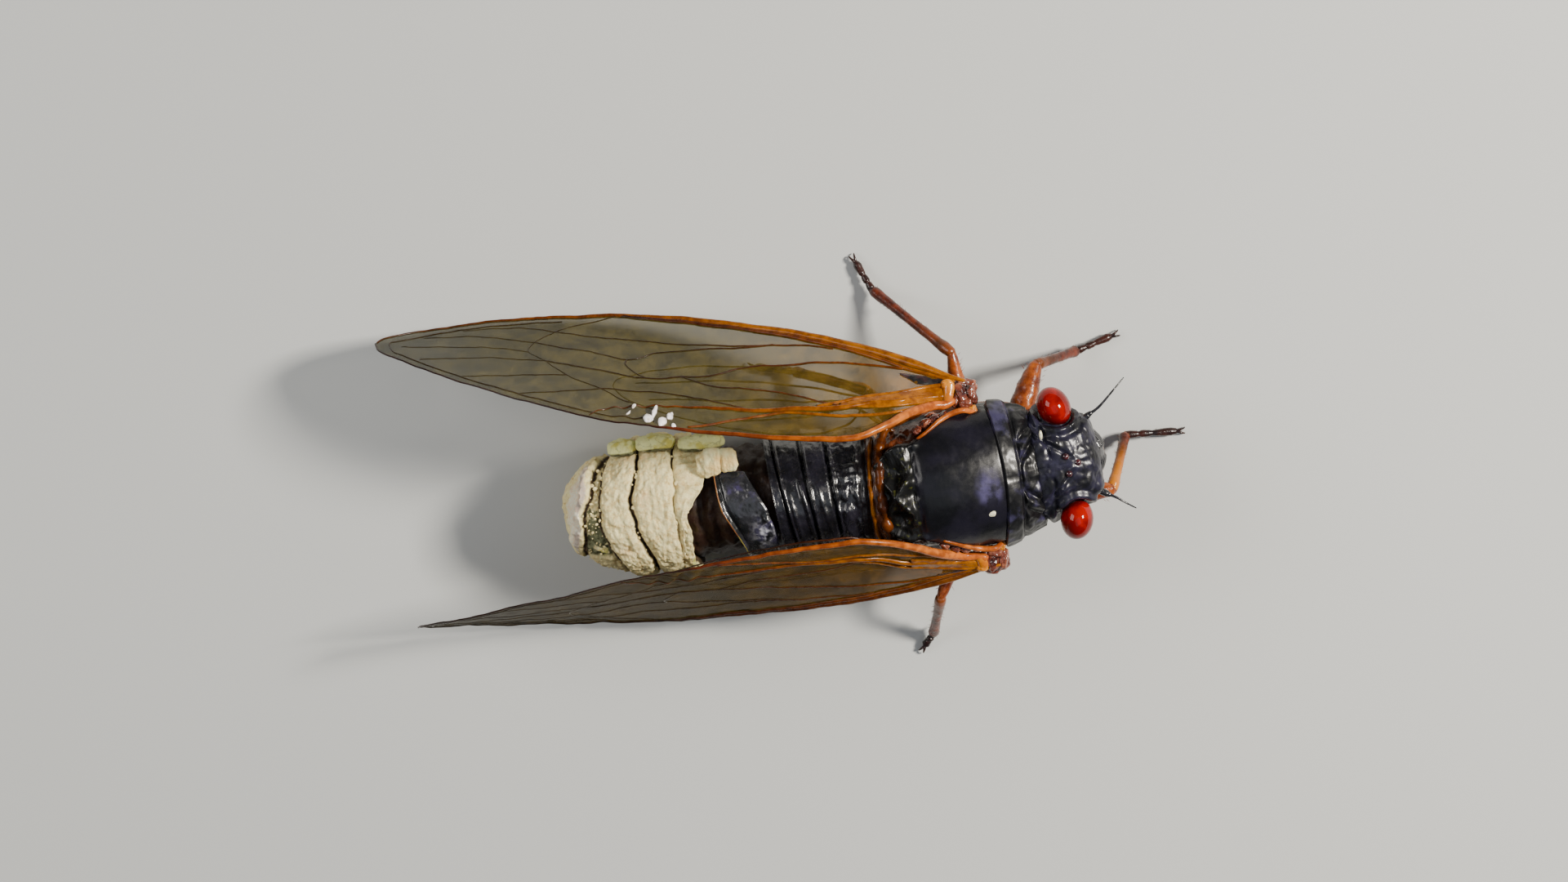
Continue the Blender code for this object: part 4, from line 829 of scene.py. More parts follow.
def build_beak():
    """The beak, folded back under the head."""
    path = spaced(ROSTRUM, 0.12)
    share = np.linspace(0, 1, len(path))
    radii = np.interp(share, (0, 0.3, 0.7, 0.95, 1), (0.36, 0.34, 0.26, 0.16, 0.07))
    radii *= 1 - 0.14 * hump(share, 0.34, 0.02) - 0.14 * hump(share, 0.66, 0.02)
    make_piece("beak", tube(path, radii, 20), "leg_foot", "rostrum", None, posed)


def build_feelers():
    """Each feeler: stout base, knob and jointed whip."""
    for name, stations in ANTENNAE.items():
        s = np.array(stations)
        stout = spaced([s[0], s[0] * 0.3 + s[1] * 0.7, s[1]], 0.05)
        share = np.linspace(0, 1, len(stout))
        base = tube(stout, 0.27 - 0.08 * share - 0.05 * hump(share, 0.62, 0.04), 20)
        knob = tube([s[1], s[1] * 0.7 + s[2] * 0.3], [0.17, 0.13], 18)
        whip_path = spaced([s[1], s[2], (s[2] + s[3]) / 2 + (0, 0, 0.1), s[3]], 0.05)
        share = np.linspace(0, 1, len(whip_path))
        joints = np.max([bell((share - j) / 0.012) for j in (0.2, 0.38, 0.56, 0.74)], axis=0)
        whip = tube(whip_path, 0.095 - 0.06 * share - 0.012 * joints, 12)
        make_piece("feeler_" + name, [base, knob, whip], "shell_black", "antenna_" + name)


# Thorax

def bowed(points):
    """Bows the seam between pronotum and mesonotum forward in the middle of the back, then turns the body."""
    p = np.array(points, float)
    across = np.maximum(1 - (p[..., 1] / 3.6) ** 2, -0.2)
    p[..., 0] += 0.38 * across * hump(p[..., 0], 3.1, 1.1) * rise(p[..., 2], 6.5, 1.5)
    return posed(p)


def build_pronotum():
    """Pronotum with its collar and furrows."""
    p, _ = body_grid(TRUNK, stretches((5.2, 5.0, 10), (5.0, 2.9, 100), (2.9, 2.72, 10)), 240)
    x, y, z = np.moveaxis(p, 2, 0)
    side = np.abs(y)
    up = rise(z, 7.0, 0.8)
    collar = smoothstep((PRONOTUM_REAR_X + 0.85 - x) / 0.3 + 0.5)
    lift = 0.16 * collar * up - 0.14 * hump(x, 3.95, 0.12) * up
    field = rise(x, 3.95, 0.25) * up
    furrows = ((-0.26, 0.75, 0.9, 0.22), (-0.2, 1.9, 0.7, 0.22), (0.12, 1.3, 0.8, 0.25))
    for height, at, slope, width in furrows:
        lift += height * hump(side, at + slope * (x - 4.0), width) * field
    lift += 0.1 * bell(y / 0.3) * field - 0.05 * bell(y / 0.07) * up
    lift += 0.1 * hump(z, 7.35, 0.16) * rise(side, 3.0, 0.4)
    lift -= 0.1 * hump(z, 6.9, 0.18) * rise(side, 3.0, 0.4)
    near, second = cells(p, 1.3, 4.0)
    lift += 0.08 * np.minimum(second - near, 0.4) * field
    lift += 0.12 * rough(p, 0.7, 3, 5.0) * (0.4 + 0.6 * field) + 0.02 * rough(p, 2.4, 3, 6.0)
    lift += 0.04 * rough(p, 1.3, 2, 7.0) * collar * up
    lift -= 0.12 + 0.25 * fall(x, 2.87, 0.13) + 0.2 * rise(x, 5.02, 0.18)
    lift += 0.12 * up
    orange = fall(z, 6.95, 0.3) * rise(z, 5.2, 0.4) * rise(side, 3.0, 0.3)
    p = bowed(raised(p, lift))
    make_piece("pronotum_skin", grid_mesh(p), "shell_chest", "pronotum", {"orange": orange})


def build_mesonotum():
    """Mesonotum with its raised cross, pits and shelves."""
    p, _ = body_grid(TRUNK, stretches((3.25, 2.7, 10), (2.7, -1.2, 80), (-1.2, -3.98, 110)), 240)
    x, y, z = np.moveaxis(p, 2, 0)
    side = np.abs(y)
    up = rise(z, 8.2, 0.9)
    dx = np.abs(x - CROSS_CENTRE_X) / 0.95
    arm = np.abs(side / 1.35 - dx) * 1.35 / math.sqrt(2)
    reach = smoothstep(2.0 - dx * 1.1 - side / 1.35)
    lift = 0.42 * bell(arm / 0.3) * reach * up
    lift += 0.2 * hump(x, CROSS_CENTRE_X, 0.5) * bell(y / 0.5) * up
    for cx in (-1.95, -3.35):
        lift -= 0.18 * hump(x, cx, 0.3) * bell(y / 0.45) * up
    for cy in (1.3, -1.3):
        lift -= 0.3 * bell((x - CROSS_CENTRE_X + 0.05) / 0.4) * hump(y, cy, 0.4) * up
    border = ((-3.8, 1.9), (-3.2, 2.35), (-2.4, 2.75), (-1.6, 2.85), (-0.84, 3.1), (0.22, 3.6), (1.0, 3.85))
    border = np.interp(x, *zip(*border, (2.0, 4.1), (3.2, 4.3)))
    shelf = smoothstep((side - border) / 0.3) * rise(z, 6.8, 0.8) * fall(x, 2.2, 0.8)
    lift += 0.3 * bell((side - border + 0.24) / 0.18) * rise(z, 7.2, 0.8) * fall(x, -1.0, 0.8)
    lift -= 0.12 * bell((x + 1.62 + 0.1 * side) / 0.26) * rise(side, 0.5, 0.5) * up
    lift += 0.3 * hump(x, -2.6, 0.45) * hump(y, 2.2, 0.4) * up
    lift -= 0.42 * shelf
    lift += 0.1 * (hump(x, 0.9, 2.2) * bell(side / 2.8) * up)
    rear = fall(x, -1.5, 0.5)
    lift += 0.02 * rough(p, 0.6, 3, 8.0) + (0.008 + 0.1 * rear) * rough(p, 2.0, 4, 9.0)
    lift += (1 - up) * (0.1 * rough(p, 0.8, 4, 10.0) - 0.08)
    lift -= 0.45 * rise(x, 2.75, 0.3) + 0.22 * fall(x, -3.8, 0.18)
    orange = fall(z, 7.4, 0.3) * rise(z, 6.2, 0.4) * rise(side, 3.2, 0.3) * 0.9
    p = bowed(raised(p, lift))
    # The violet value marks the painted sheen on the front middle of the back.
    violet_sheen_and_shade = hump(x, 2.0, 0.7) * hump(y, -0.2, 1.3) * up * (0.8 + 0.6 * rough(p, 0.7, 3, 37.0))
    values = {"orange": orange, "rear": rear * up * (1 - shelf), "rust": shelf * rise(z, 7.4, 0.5)}
    make_piece("mesonotum_skin", grid_mesh(p), "shell_back", "mesothorax", values | {"violet_sheen_and_shade": violet_sheen_and_shade})


def build_waist():
    """The ringed skin of the waist."""
    p, _ = body_grid(TRUNK, np.linspace(-3.6, -5.2, 70), 200)
    x, y, z = np.moveaxis(p, 2, 0)
    up = rise(z, 6.0, 1.0)
    lift = 0.06 * hump(x, -4.2, 0.16) * up - 0.18 * hump(x, -4.5, 0.12) * up
    lift += 0.1 * rough(p, 1.1, 4, 11.0) + 0.04 * rough(p, 3.0, 4, 12.0)
    lift -= 0.25 * rise(x, -3.8, 0.2) + 0.16 * fall(x, -4.85, 0.25) + 0.06
    black = np.maximum(fall(x, -4.42, 0.08), 1 - up)
    p = posed(raised(p, lift))
    make_piece("waist_skin", grid_mesh(p), "waist", "metathorax", {"black": black})


def on_back(x, y, lift=0.0):
    """A point on the back of the trunk, raised a little, with the body's turn."""
    half, top, wide, _, square = section_at(TRUNK, x)
    share = min(abs(y) / half, 0.999)
    z = wide + (top - wide) * (1 - share**square) ** (1 / square)
    out = Vector((y / half**2, (z - wide) / (top - wide) ** 2)).normalized() * lift
    return tuple(posed(np.array([(x, y + out[0], z + out[1])]))[0])


# Hind body and plug

def build_segments():
    """Overlapping black segments with their ridges and wrinkles."""
    shares = np.concatenate([np.linspace(0, 0.84, 22), np.linspace(0.87, 1.0, 12)])
    segments = len(TERGITE_EDGES) - 1
    s = np.tile(shares, segments)
    number = np.repeat(np.arange(segments), len(shares))
    edges, slants = np.array(TERGITE_EDGES), np.array(TERGITE_SLANT)
    xs, slants = (v[number] + (v[number + 1] - v[number]) * s for v in (edges, slants))
    p, _ = body_grid(TRUNK, xs - 1e-4 * np.arange(len(xs)), 260)
    x, y, z = np.moveaxis(p, 2, 0)
    s, first = s[:, None], (number == 0)[:, None]
    up = rise(z, 6.0, 1.2)
    lift = np.zeros_like(x) - 0.2 * (1 - smoothstep(s / 0.2)) + 0.06 * rise(s, 0.2, 0.6)
    lift = lift + 0.08 * hump(s, 0.92, 0.05) - 0.26 * rise(s, 0.965, 0.035)
    wrinkle = rough(p * np.array((1.0, 0.6, 0.6)), 1.7, 4, 13.0)
    lift += (0.05 + 0.16 * first * up) * wrinkle + 0.02 * rough(p, 3.4, 4, 14.0)
    lift += 0.17 * bell((x + 7.98 + 0.07 * y) / 0.15) * fall(y, 1.7, 0.8) * rise(y, -3.4, 0.5) * up
    lift += 0.1 * bell((x + 8.75 + 0.05 * y) / 0.13) * fall(y, 1.0, 0.8) * up
    lift += 0.07 * bell((x + 7.05 + 0.1 * y) / 0.12) * fall(y, 1.2, 0.8) * up
    lift -= 0.12 * hump(z, 4.3, 0.22) * rise(np.abs(y), 2.6, 0.4)
    lift += 0.14 * hump(x, -6.1, 0.9) * hump(np.abs(y), 1.3, 0.8) * fall(z, 4.2, 0.6)
    p = raised(p, lift)
    p[..., 0] -= slants[:, None] * y
    p = posed(p)
    make_piece("tergites", grid_mesh(p), "shell_black", "abdomen")


def build_stump():
    """The torn dark stump behind the segments."""
    rows, columns = 110, 140
    xs = np.linspace(-9.7, -14.9, rows)
    half, top, wide, bottom, _ = (v[:, None] for v in section_at(TRUNK, xs))
    a = 2 * np.pi * np.arange(columns)[None] / columns
    z = np.where(np.sin(a) > 0, top - 1.2 - wide, wide - bottom - 0.82)
    p = np.stack([np.repeat(xs[:, None], columns, 1), (half - 0.82) * np.cos(a), wide + z * np.sin(a)], 2)
    fold = np.sin(xs[:, None] * 6.0 + 2.5 * rough(p, 0.5, 3, 16.0))
    lift = 0.16 * rough(p, 0.9, 5, 17.0) + 0.07 * fold + 0.05 * rough(p, 3.0, 4, 18.0)
    make_piece("stump_flesh", grid_mesh(raised(p, lift)), "stump", "abdomen_stump")


def build_loose_plate():
    """The loose black plate over the stump, with its rim."""
    across, along = 130, 70
    share = np.linspace(0, 1, across)[:, None]
    a = np.radians(56.0 + 116.0 * share)
    y0 = 3.68 * np.cos(a)
    x0, x1 = (np.interp(y0, PLATE_SIDES, edge) for edge in (PLATE_FRONT, PLATE_REAR))
    t = np.linspace(0, 1, along)[None]
    x = x0 + (x1 - x0) * t
    half, top, wide, _, _ = section_at(TRUNK, x)
    p = np.stack([x, half * np.cos(a) * np.ones_like(t), wide + (top - wide) * np.sin(a)], axis=2)
    n = grid_normals(p, closed=False)
    n *= np.sign(n[..., 2:3] + n[..., 1:2] * np.sign(p[..., 1:2]) * 0.5)
    lip = rise(t, 0.95, 0.03) * fall(share, 0.9, 0.2)
    swirl = hump(x, -10.35, 0.6) * hump(p[..., 1], -1.3, 0.9)
    ring = np.sqrt((x + 10.45) ** 2 + ((p[..., 1] + 1.35) * 0.8) ** 2)
    lift = 0.06 * rough(p, 0.8, 4, 19.0) + 0.16 * swirl * rough(p, 1.5, 4, 20.0) + 0.09 * hump(t, 0.97, 0.03)
    lift = lift + 0.13 * hump(ring, 0.5, 0.14) * rise(x, -10.6, 0.3)
    lift = lift - 0.1 * hump(t, 0.88, 0.05) * fall(share, 0.75, 0.3)
    lift = lift - 0.08 - 0.08 * (1 - smoothstep(t / 0.06)) + 0.02 * rough(p, 3.0, 3, 21.0)
    top_face = p + n * lift[..., None]
    under = top_face - n * (0.1 + 0.08 * lip + 0.05 * hump(t, 0.95, 0.05))[..., None]
    # Where the painted highlight lies: the swirl near the plate's front, broken up by noise.
    painted_swirl_highlight = hump(x, -10.45, 0.5) * hump(p[..., 1], -1.5, 0.8) * rise(rough(p, 1.3, 3, 39.0), -0.1, 0.25)
    values = {"rim": lip, "yellow": hump(share, 0.62, 0.12) * np.ones_like(lip), "painted_swirl_highlight": painted_swirl_highlight}
    values = {key: np.concatenate([value.ravel()] * 2) for key, value in values.items()}
    make_piece("loose_plate", plate_mesh(top_face, under), "shell_plate", "abdomen_plate", values)


def build_plug():
    """The chalky plug: ringed, grooved and crumbling."""
    rear = PLUG_REAR_X + 0.02
    cap = rear + 0.78 * np.cos(np.linspace(0, np.pi / 2, 26))[:-1]
    xs = np.concatenate([np.linspace(-14.35, -21.2, 190)[:-1], cap, [rear]])
    p, angle = body_grid(TRUNK, xs, 300)
    x, y, z = np.moveaxis(p, 2, 0)
    half, top, wide, bottom, _ = (v[:, None] for v in section_at(TRUNK, xs))
    out = np.maximum(PLUG_ROUND_X - x, 0.0) / (PLUG_ROUND_X - PLUG_REAR_X)
    swell = np.maximum(1 - out**PLUG_POWER, 0.0) ** (1 / PLUG_POWER)
    trim = np.where(y > 0, 1 - PLUG_LEFT_TRIM * fall(x, PLUG_TRIM_X, 1.6), 1.0)
    level = y * swell * trim
    wave = 0.16 * rough(p, 0.5, 3, 22.0) + 0.07 * rough(p, 2.2, 3, 23.0)
    second = (-2.9, -2.4, -1.0, 0.45, 1.3, 2.6), (-16.9, -17.2, -17.7, -17.9, -17.8, -17.45)
    third = (-3.4, -3.0, -1.6, -0.3, 1.0, 3.6), (-18.8, -19.1, -19.5, -19.75, -19.8, -19.5)
    fourth = (-3.2, -1.6, 0.3, 1.8, 3.6), (-21.2, -20.9, -20.6, -20.2, -19.75)
    lines = (
        (-15.3 + 0.0 * level, 0.1, 0.55 + 0.35 * rise(level, 2.4, 0.5) - 0.4 * fall(level, -1.5, 1.0)),
        (np.interp(level, *second), 0.15, 1.0),
        (np.interp(level, *third), 0.14, 0.9),
        (np.interp(level, *fourth), 0.15, 0.9),
    )
    before, behind = lines[2][0], lines[3][0]
    lift = np.zeros_like(x)
    groove = np.zeros_like(x)
    for line, width, strength in lines:
        away = (x - line + wave) / width
        groove = np.maximum(groove, strength * bell(away))
        lift -= strength * (0.26 * bell(away) + 0.14 * bell(away / 2.6))
    band = smoothstep((before - x - wave) / 0.15) * smoothstep((x - behind + wave) / 0.15)
    lumps, _ = cells(p, 1.3, 24.0)
    ring_two = fall(x, -15.6, 0.3) * rise(x, -17.4, 0.3) * rise(level, -2.2, 1.0)
    grains, _ = cells(p, 3.6, 35.0)
    lift -= 0.22 * band
    lift += 0.14 * (0.5 - lumps) * (1 - 0.6 * ring_two)
    lift += 0.1 * rough(p, 0.9, 4, 25.0) + 0.08 * rough(p, 2.8, 5, 26.0)
    lift += 0.09 * (0.45 - grains) * (1 - 0.5 * ring_two)
    ribs = np.sin(x * 17.0 + 4.0 * rough(p, 0.4, 3, 27.0)) * (0.5 + 0.5 * rough(p, 0.8, 2, 34.0))
    lift += 0.022 * ribs * (0.25 + 0.75 * ring_two)
    lift = np.minimum(lift, 0.16) - 0.1
    last = smoothstep((behind - 0.2 - wave - x) / 0.3)
    lift += 0.4 * bell((behind - 0.62 - wave - x) / 0.36) * smoothstep((z - wide) / 1.2)
    lift += 0.16 * last * rough(p, 1.7, 5, 40.0)
    n = grid_normals(p)
    z = wide + (z + n[..., 2] * lift * np.minimum(1, 3 * swell) - wide) * swell
    y = (y + n[..., 1] * lift * np.minimum(1, 3 * swell)) * swell * trim
    z = z - PLUG_SEAT * np.maximum(wide - z, 0.0) / (wide - bottom)
    lean = 0.15 * fall(x, CORE_REAR_X, 6.0) * (top - z)
    ragged = 0.26 * rough(np.stack([np.cos(angle), np.sin(angle), 0 * angle], 2), 2.2, 4, 28.0)
    forward = rise(z, 6.0, 1.5) * (0.7 * rise(level, 0.5, 1.0) + 1.3 * rise(level, 2.0, 0.5))
    forward = forward - 0.3 * fall(level, 0.6, 1.0) * rise(z, 6.0, 1.5)
    x = x + lean * (1 - out**4) + (ragged + forward) * rise(x, -15.3, 1.0)
    x = x + 0.25 * last * (0.4 + rough(np.stack([x, y, z], 2), 1.3, 5, 41.0))
    p = np.stack([x, y, np.maximum(z, 0.0)], axis=2)
    # The groove value darkens the grooves and the sunken band: painted shade.
    values = {"groove": np.maximum(groove * 0.85, band * 0.24)}
    values["olive_and_shade"] = band * fall(level, 1.0, 0.8) * rise(level, -3.0, 1.0)
    values["olive_and_shade"] *= 0.4 + 0.6 * (rough(p, 1.2, 3, 29.0) > -0.1)
    behind = behind - 0.1 - wave - x
    # The pale value covers the top of the end behind the last groove. It is paler partly as its own colour
    # and partly as painted light.
    values["pale"] = smoothstep(behind / 0.2) * rise(p[..., 2], 5.0, 1.5)
    values["moss"] = rise(rough(p, 0.5, 2, 30.0), 0.35, 0.2) * fall(level, -1.5, 1.0) * 0.8
    # The violet value darkens the front edge of the pale end beside the last groove: painted shade.
    values["violet_sheen_and_shade"] = values["pale"] * fall(behind, 0.5, 0.15) * rise(rough(p, 0.9, 3, 36.0), -0.6, 0.4)
    front = ((0.8, 0.5), (0.86, 0.12), (0.94, 0.0))
    inner = [p[0] * s + p[0].mean(axis=0) * (1 - s) - (depth, 0, 0) for s, depth in front]
    p = np.concatenate([np.array(inner), p])
    # The front cap, hidden in the stump, takes the painted groove shade.
    for key, value in values.items():
        values[key] = np.pad(value, ((3, 0), (0, 0)), constant_values=0.7 if key == "groove" else 0.0)
    make_piece("plug_mass", grid_mesh(p), "plug", "fungus_plug", values)


def build_lobes():
    """The row of mossy lobes along the plug's left side."""
    lobes = []
    for i, (cx, cy, cz, length) in enumerate(PLUG_LOBES):
        for k in (-1, 0, 1):
            centre = (cx + k * length * 0.42, cy - 0.04 * k * k, cz + 0.04 * k * k)
            size = (length * 0.56, LOBE_RADII[0] * (1 - 0.1 * k * k), LOBE_RADII[1] * (1 - 0.12 * k * k))
            lobes.append(blob(centre, size, 3 * k, 44, 30, 0.85, 0.1, i * 3 + k))
    p = np.array(join_meshes(lobes)[0])
    # Dark lines along cracks in the lobes: painted shade.
    groove = smoothstep((0.35 - np.abs(rough(p, 1.2, 2, 31.0)) * 3) / 0.3) * 0.4
    middle = np.interp(-p[:, 0], [-lobe[0] for lobe in PLUG_LOBES], [lobe[1] for lobe in PLUG_LOBES])
    # Darker olive along each lobe's lower side: painted shade.
    shade = 0.75 * smoothstep((middle - p[:, 1] - 0.1) / 0.25)
    make_piece("plug_lobes", lobes, "plug", None, {"moss": np.ones(len(p)), "groove": groove, "olive_and_shade": shade})


def build_tab():
    """The peach tab ahead of the lobes."""
    start, end = (np.array(q) for q in TAB_POINTS)
    rows, columns = 90, 80
    share = np.linspace(0, 1, rows)[:, None]
    size = np.interp(share, (0, 0.2, 0.45, 0.6, 0.93, 1.0), (0.7, 1.05, 1.0, 0.84, 0.74, 0.4))
    dent = 0.12 * hump(share, 0.6, 0.03)
    a = 2 * np.pi * np.arange(columns)[None] / columns
    line = start + (end - start) * share
    wide = 0.82 * size - dent * 0.6
    high = np.where(np.sin(a) > 0, 0.4, 0.34) * (size - dent * 1.5)
    y = line[:, 1:2] + wide * soft(np.cos(a), 0.75)
    z = line[:, 2:3] + high * soft(np.sin(a), 0.75)
    p = np.stack([np.repeat(line[:, :1], columns, 1), y, z], 2)
    p = raised(p, 0.09 * rough(p, 1.2, 4, 32.0) + 0.05 * rough(p, 3.6, 4, 33.0))
    # The dent across the tab is darkened: painted shade.
    values = {"peach": rise(share, 0.1, 0.2), "groove": 0.4 * hump(share, 0.6, 0.02)}
    values = {key: np.repeat(value, columns, 1) for key, value in values.items()}
    make_piece("plug_tab", grid_mesh(p), "plug", None, values)


def build_crumbs():
    """Crumbs scattered along the plug's grooves."""
    rng = np.random.default_rng(11)
    crumbs = []
    for i in range(PLUG_CRUMBS):
        gx = rng.choice((-15.3, -17.7, -19.6, -20.4)) + rng.normal(0, 0.5)
        gx = min(max(gx, -21.0), -14.7)
        a = rng.uniform(0.25, 2.9)
        half, top, wide, _, _ = section_at(TRUNK, gx)
        out = max(PLUG_ROUND_X - gx, 0) / (PLUG_ROUND_X - PLUG_REAR_X)
        s = (1 - out**PLUG_POWER) ** (1 / PLUG_POWER)
        z = wide + (top - wide - 0.22) * math.sin(a) * s
        lean = 0.3 * float(fall(gx, CORE_REAR_X, 6.0)) * (top - z) * 0.5 * (1 - out**4)
        r = 0.03 + 0.09 * rng.random() ** 3
        across = (half - 0.24) * math.cos(a) * s
        if across > 0:
            across *= 1 - PLUG_LEFT_TRIM * float(fall(gx, PLUG_TRIM_X, 1.6))
        crumbs.append(blob((gx + lean, across, z - 0.03), (r * 1.2, r, r * 0.7), 60 * i, 9, 7, 0.9, 0.35, i))
    make_piece("plug_crumbs", crumbs, "plug")


# Legs

def thorn(base, direction, length, radius, sides=8):
    direction = direction.normalized()
    bend = frame_across(direction)[0] * length * 0.08
    path = [base, base + direction * length * 0.5 + bend, base + direction * length]
    return tube(path, [radius, radius * 0.6, radius * 0.12], sides)


def limb(start, end, radius, profile, bow, seed, sides=28, steps=60):
    """An organic limb length between two joints, a little bowed, with a profile along it."""
    up, _ = frame_across(end - start)
    share = np.linspace(0, 1, steps)
    path = [start.lerp(end, t) + up * bow * 4 * t * (1 - t) for t in share]
    r = np.interp(share, [k for k, _ in profile], [radius * v for _, v in profile])
    points, faces, _ = tube(path, r, sides)
    p = np.array(points)
    values = np.concatenate([np.repeat(np.concatenate([[0], share, [1]]), sides), [0, 1]])
    centre = np.repeat(np.array([tuple(q) for q in path]), sides, axis=0)
    body = p[sides : sides * (steps + 1)]
    out = body - centre
    swell = 1 + 0.07 * rough(body, 1.6, 3, seed) + 0.03 * rough(body, 6.0, 3, seed)
    p[sides : sides * (steps + 1)] = centre + out * swell[:, None]
    p[:, 2] = np.maximum(p[:, 2], 0.0)
    return [tuple(q) for q in p], faces, values


def spines(start, end, stations, radius, out, lean, thick):
    """Spines under a limb, by turns to both sides, from their places along it and their lengths."""
    run = (end - start).normalized()
    up, level = frame_across(run)
    thorns = []
    for i, (share, length) in enumerate(stations):
        under = (-up + level * (0.45 if i % 2 else -0.45)).normalized()
        base = start.lerp(end, share) + under * radius * out
        thorns.append(thorn(base, under + run * lean, min(length, base.z * 0.8), thick))
    return thorns


def bristles(start, end, radius, count, seed, length=0.28):
    """Short hairs scattered round a limb, leaning to its tip."""
    up, level = frame_across(end - start)
    run = (end - start).normalized()
    rng = np.random.default_rng(seed)
    hairs = []
    for _ in range(count):
        t, a = rng.uniform(0.08, 0.97), rng.uniform(0, 2 * math.pi)
        out = math.cos(a) * level + math.sin(a) * up
        base = start.lerp(end, t) + out * radius * 0.8
        if base.z < 0.25:
            continue
        hairs.append(thorn(base, out + run * 0.9, length * rng.uniform(0.6, 1.1), 0.014, 4))
    return hairs


def build_thigh(leg, number, hip, knee):
    """Hip joint and thigh with its spines."""
    pair = leg.split("_")[0]
    thick = FEMUR_RADIUS[pair]
    size = (thick * 1.15, thick, thick * 1.2)
    parts = [limb(hip, knee, thick, THIGH_PROFILE, 0.0, number)]
    parts.append(blob(hip.lerp(knee, 0.12), size, bumps=0.08, seed=number))
    stations = [(share, length * 0.75) for share, length in THIGH_SPINES[pair]]
    parts += spines(hip, knee, stations, thick, 0.7, 0.4, 0.12)
    parts += bristles(hip.lerp(knee, 0.35), knee, thick, 34, number)
    make_piece("thigh_" + leg, parts, "leg_thigh", "femur_" + leg)


def build_shin(leg, number, knee, ankle):
    """Shin with its spurs."""
    pair = leg.split("_")[0]
    thin = TIBIA_RADIUS
    bow = 0.2 if leg == "fore_right" else 0.08
    parts = [limb(knee, ankle, thin, SHIN_PROFILE, bow, number + 10.0)]
    parts += spines(knee, ankle, SHIN_SPINES[pair], thin, 0.6, 0.5, 0.075)
    parts += bristles(knee, ankle, thin, 60, number + 20)
    share = np.clip(np.array(join_meshes(parts)[2]), 0, 1)
    warm = (1 - share) * {"fore_right": 1.0, "hind_left": 0.7}.get(leg, 0.3)
    make_piece("shin_" + leg, parts, "leg_shin", "tibia_" + leg, {"warm": warm})


def build_foot(leg, number, ankle, toe):
    """Foot of three joints with its claws."""
    foot = TARSUS_RADIUS
    parts = [limb(ankle, toe + Vector((0, 0, 0.08)), foot, FOOT_PROFILE, 0.05, number + 30.0, 20, 50)]
    run = (toe - ankle).normalized()
    base = Vector((toe.x, toe.y, 0.24))
    for turn in (18.0, -18.0):
        c, s = math.cos(math.radians(turn)), math.sin(math.radians(turn))
        way = Vector((run.x * c - run.y * s, run.x * s + run.y * c, 0))
        path = spaced([base + way * ahead + Vector((0, 0, z)) for ahead, z in CLAW], 0.05)
        parts.append(tube(path, np.linspace(0.11, 0.035, len(path)), 10))
    parts += bristles(ankle, toe, foot, 14, number + 40, 0.12)
    make_piece("foot_" + leg, parts, "leg_foot", "tarsus_" + leg)


# Wings

FRONT_LINE = spaced(WING_FRONT_EDGE, 0.2)
INNER_LINE = spaced(WING_INNER_EDGE, 0.2)[::-1]


def wing_edge(u):
    """Front and inner edge at places along the wing."""
    return np.interp(u, FRONT_LINE[:, 0], FRONT_LINE[:, 1]), np.interp(u, INNER_LINE[:, 0], INNER_LINE[:, 1])


def wing_point(u, v, name):
    """Where places in the wing's own plane lie: it leans, twists, bows out and dips to its root."""
    u, v = np.asarray(u, float), np.asarray(v, float)
    side = 1.0 if name == "left" else -1.0
    v = v + WING_ROOT_SHIFT[name] * fall(u, 7.0, 4.0) * smoothstep(v / 1.5)
    sweep, droop = math.radians(WING_SWEEP[name]), math.radians(WING_DROOP)
    lean = np.radians(WING_TILT + WING_TWIST_PER_MM * (u - WING_TILT_AT))
    root = WING_ROOTS[name]
    share = u / WING_LENGTH
    out = u * math.sin(sweep) * math.cos(droop) + WING_BOW * 4 * share * (1 - share) - v * np.cos(lean)
    sink = WING_ROOT_SINK * fall(u, 2.6, 3.0) * smoothstep(v / 2.5)
    return np.stack(
        [
            root[0] - u * math.cos(sweep) * math.cos(droop) - sink * CAMERA_LEAN[0],
            root[1] + side * out - sink * CAMERA_LEAN[1],
            root[2] - u * math.sin(droop) + v * np.sin(lean) - sink,
        ],
        axis=-1,
    )


def wing_normal(u, v, name):
    along = wing_point(u + 0.05, v, name) - wing_point(u - 0.05, v, name)
    across = wing_point(u, v + 0.05, name) - wing_point(u, v - 0.05, name)
    n = np.cross(along, across)
    n /= np.linalg.norm(n, axis=-1, keepdims=True)
    side = 1.0 if name == "left" else -1.0
    return n * np.sign(n[..., 1:2] * side)


def ripple(u, v, name):
    """How far the membrane swells between its veins, with the creases by its inner edge."""
    front, inner = wing_edge(u)
    t = (v - front) / np.maximum(inner - front, 0.4)
    flat = np.stack([u, v, np.full_like(u, 3.0 if name == "left" else 9.0)], axis=-1)
    waves = 0.1 * rough(flat, 0.32, 3) + 0.03 * rough(flat, 1.3, 3, 1.0)
    creases = 0.16 * np.sin(u * 4.5 + v * 2.0) + 0.08 * rough(flat, 1.6, 3, 2.0)
    return waves * smoothstep(u / 5.0) + hump(u, 17.0, 2.0) * hump(t, 0.88, 0.08) * creases


def on_wing(line, name, lift=0.0, step=0.22):
    """A vein's path over the membrane and its places along the wing."""
    flat = spaced(line, step)
    u, v = flat[:, 0], flat[:, 1]
    height = ripple(u, v, name) + lift
    return wing_point(u, v, name) + wing_normal(u, v, name) * height[:, None], u


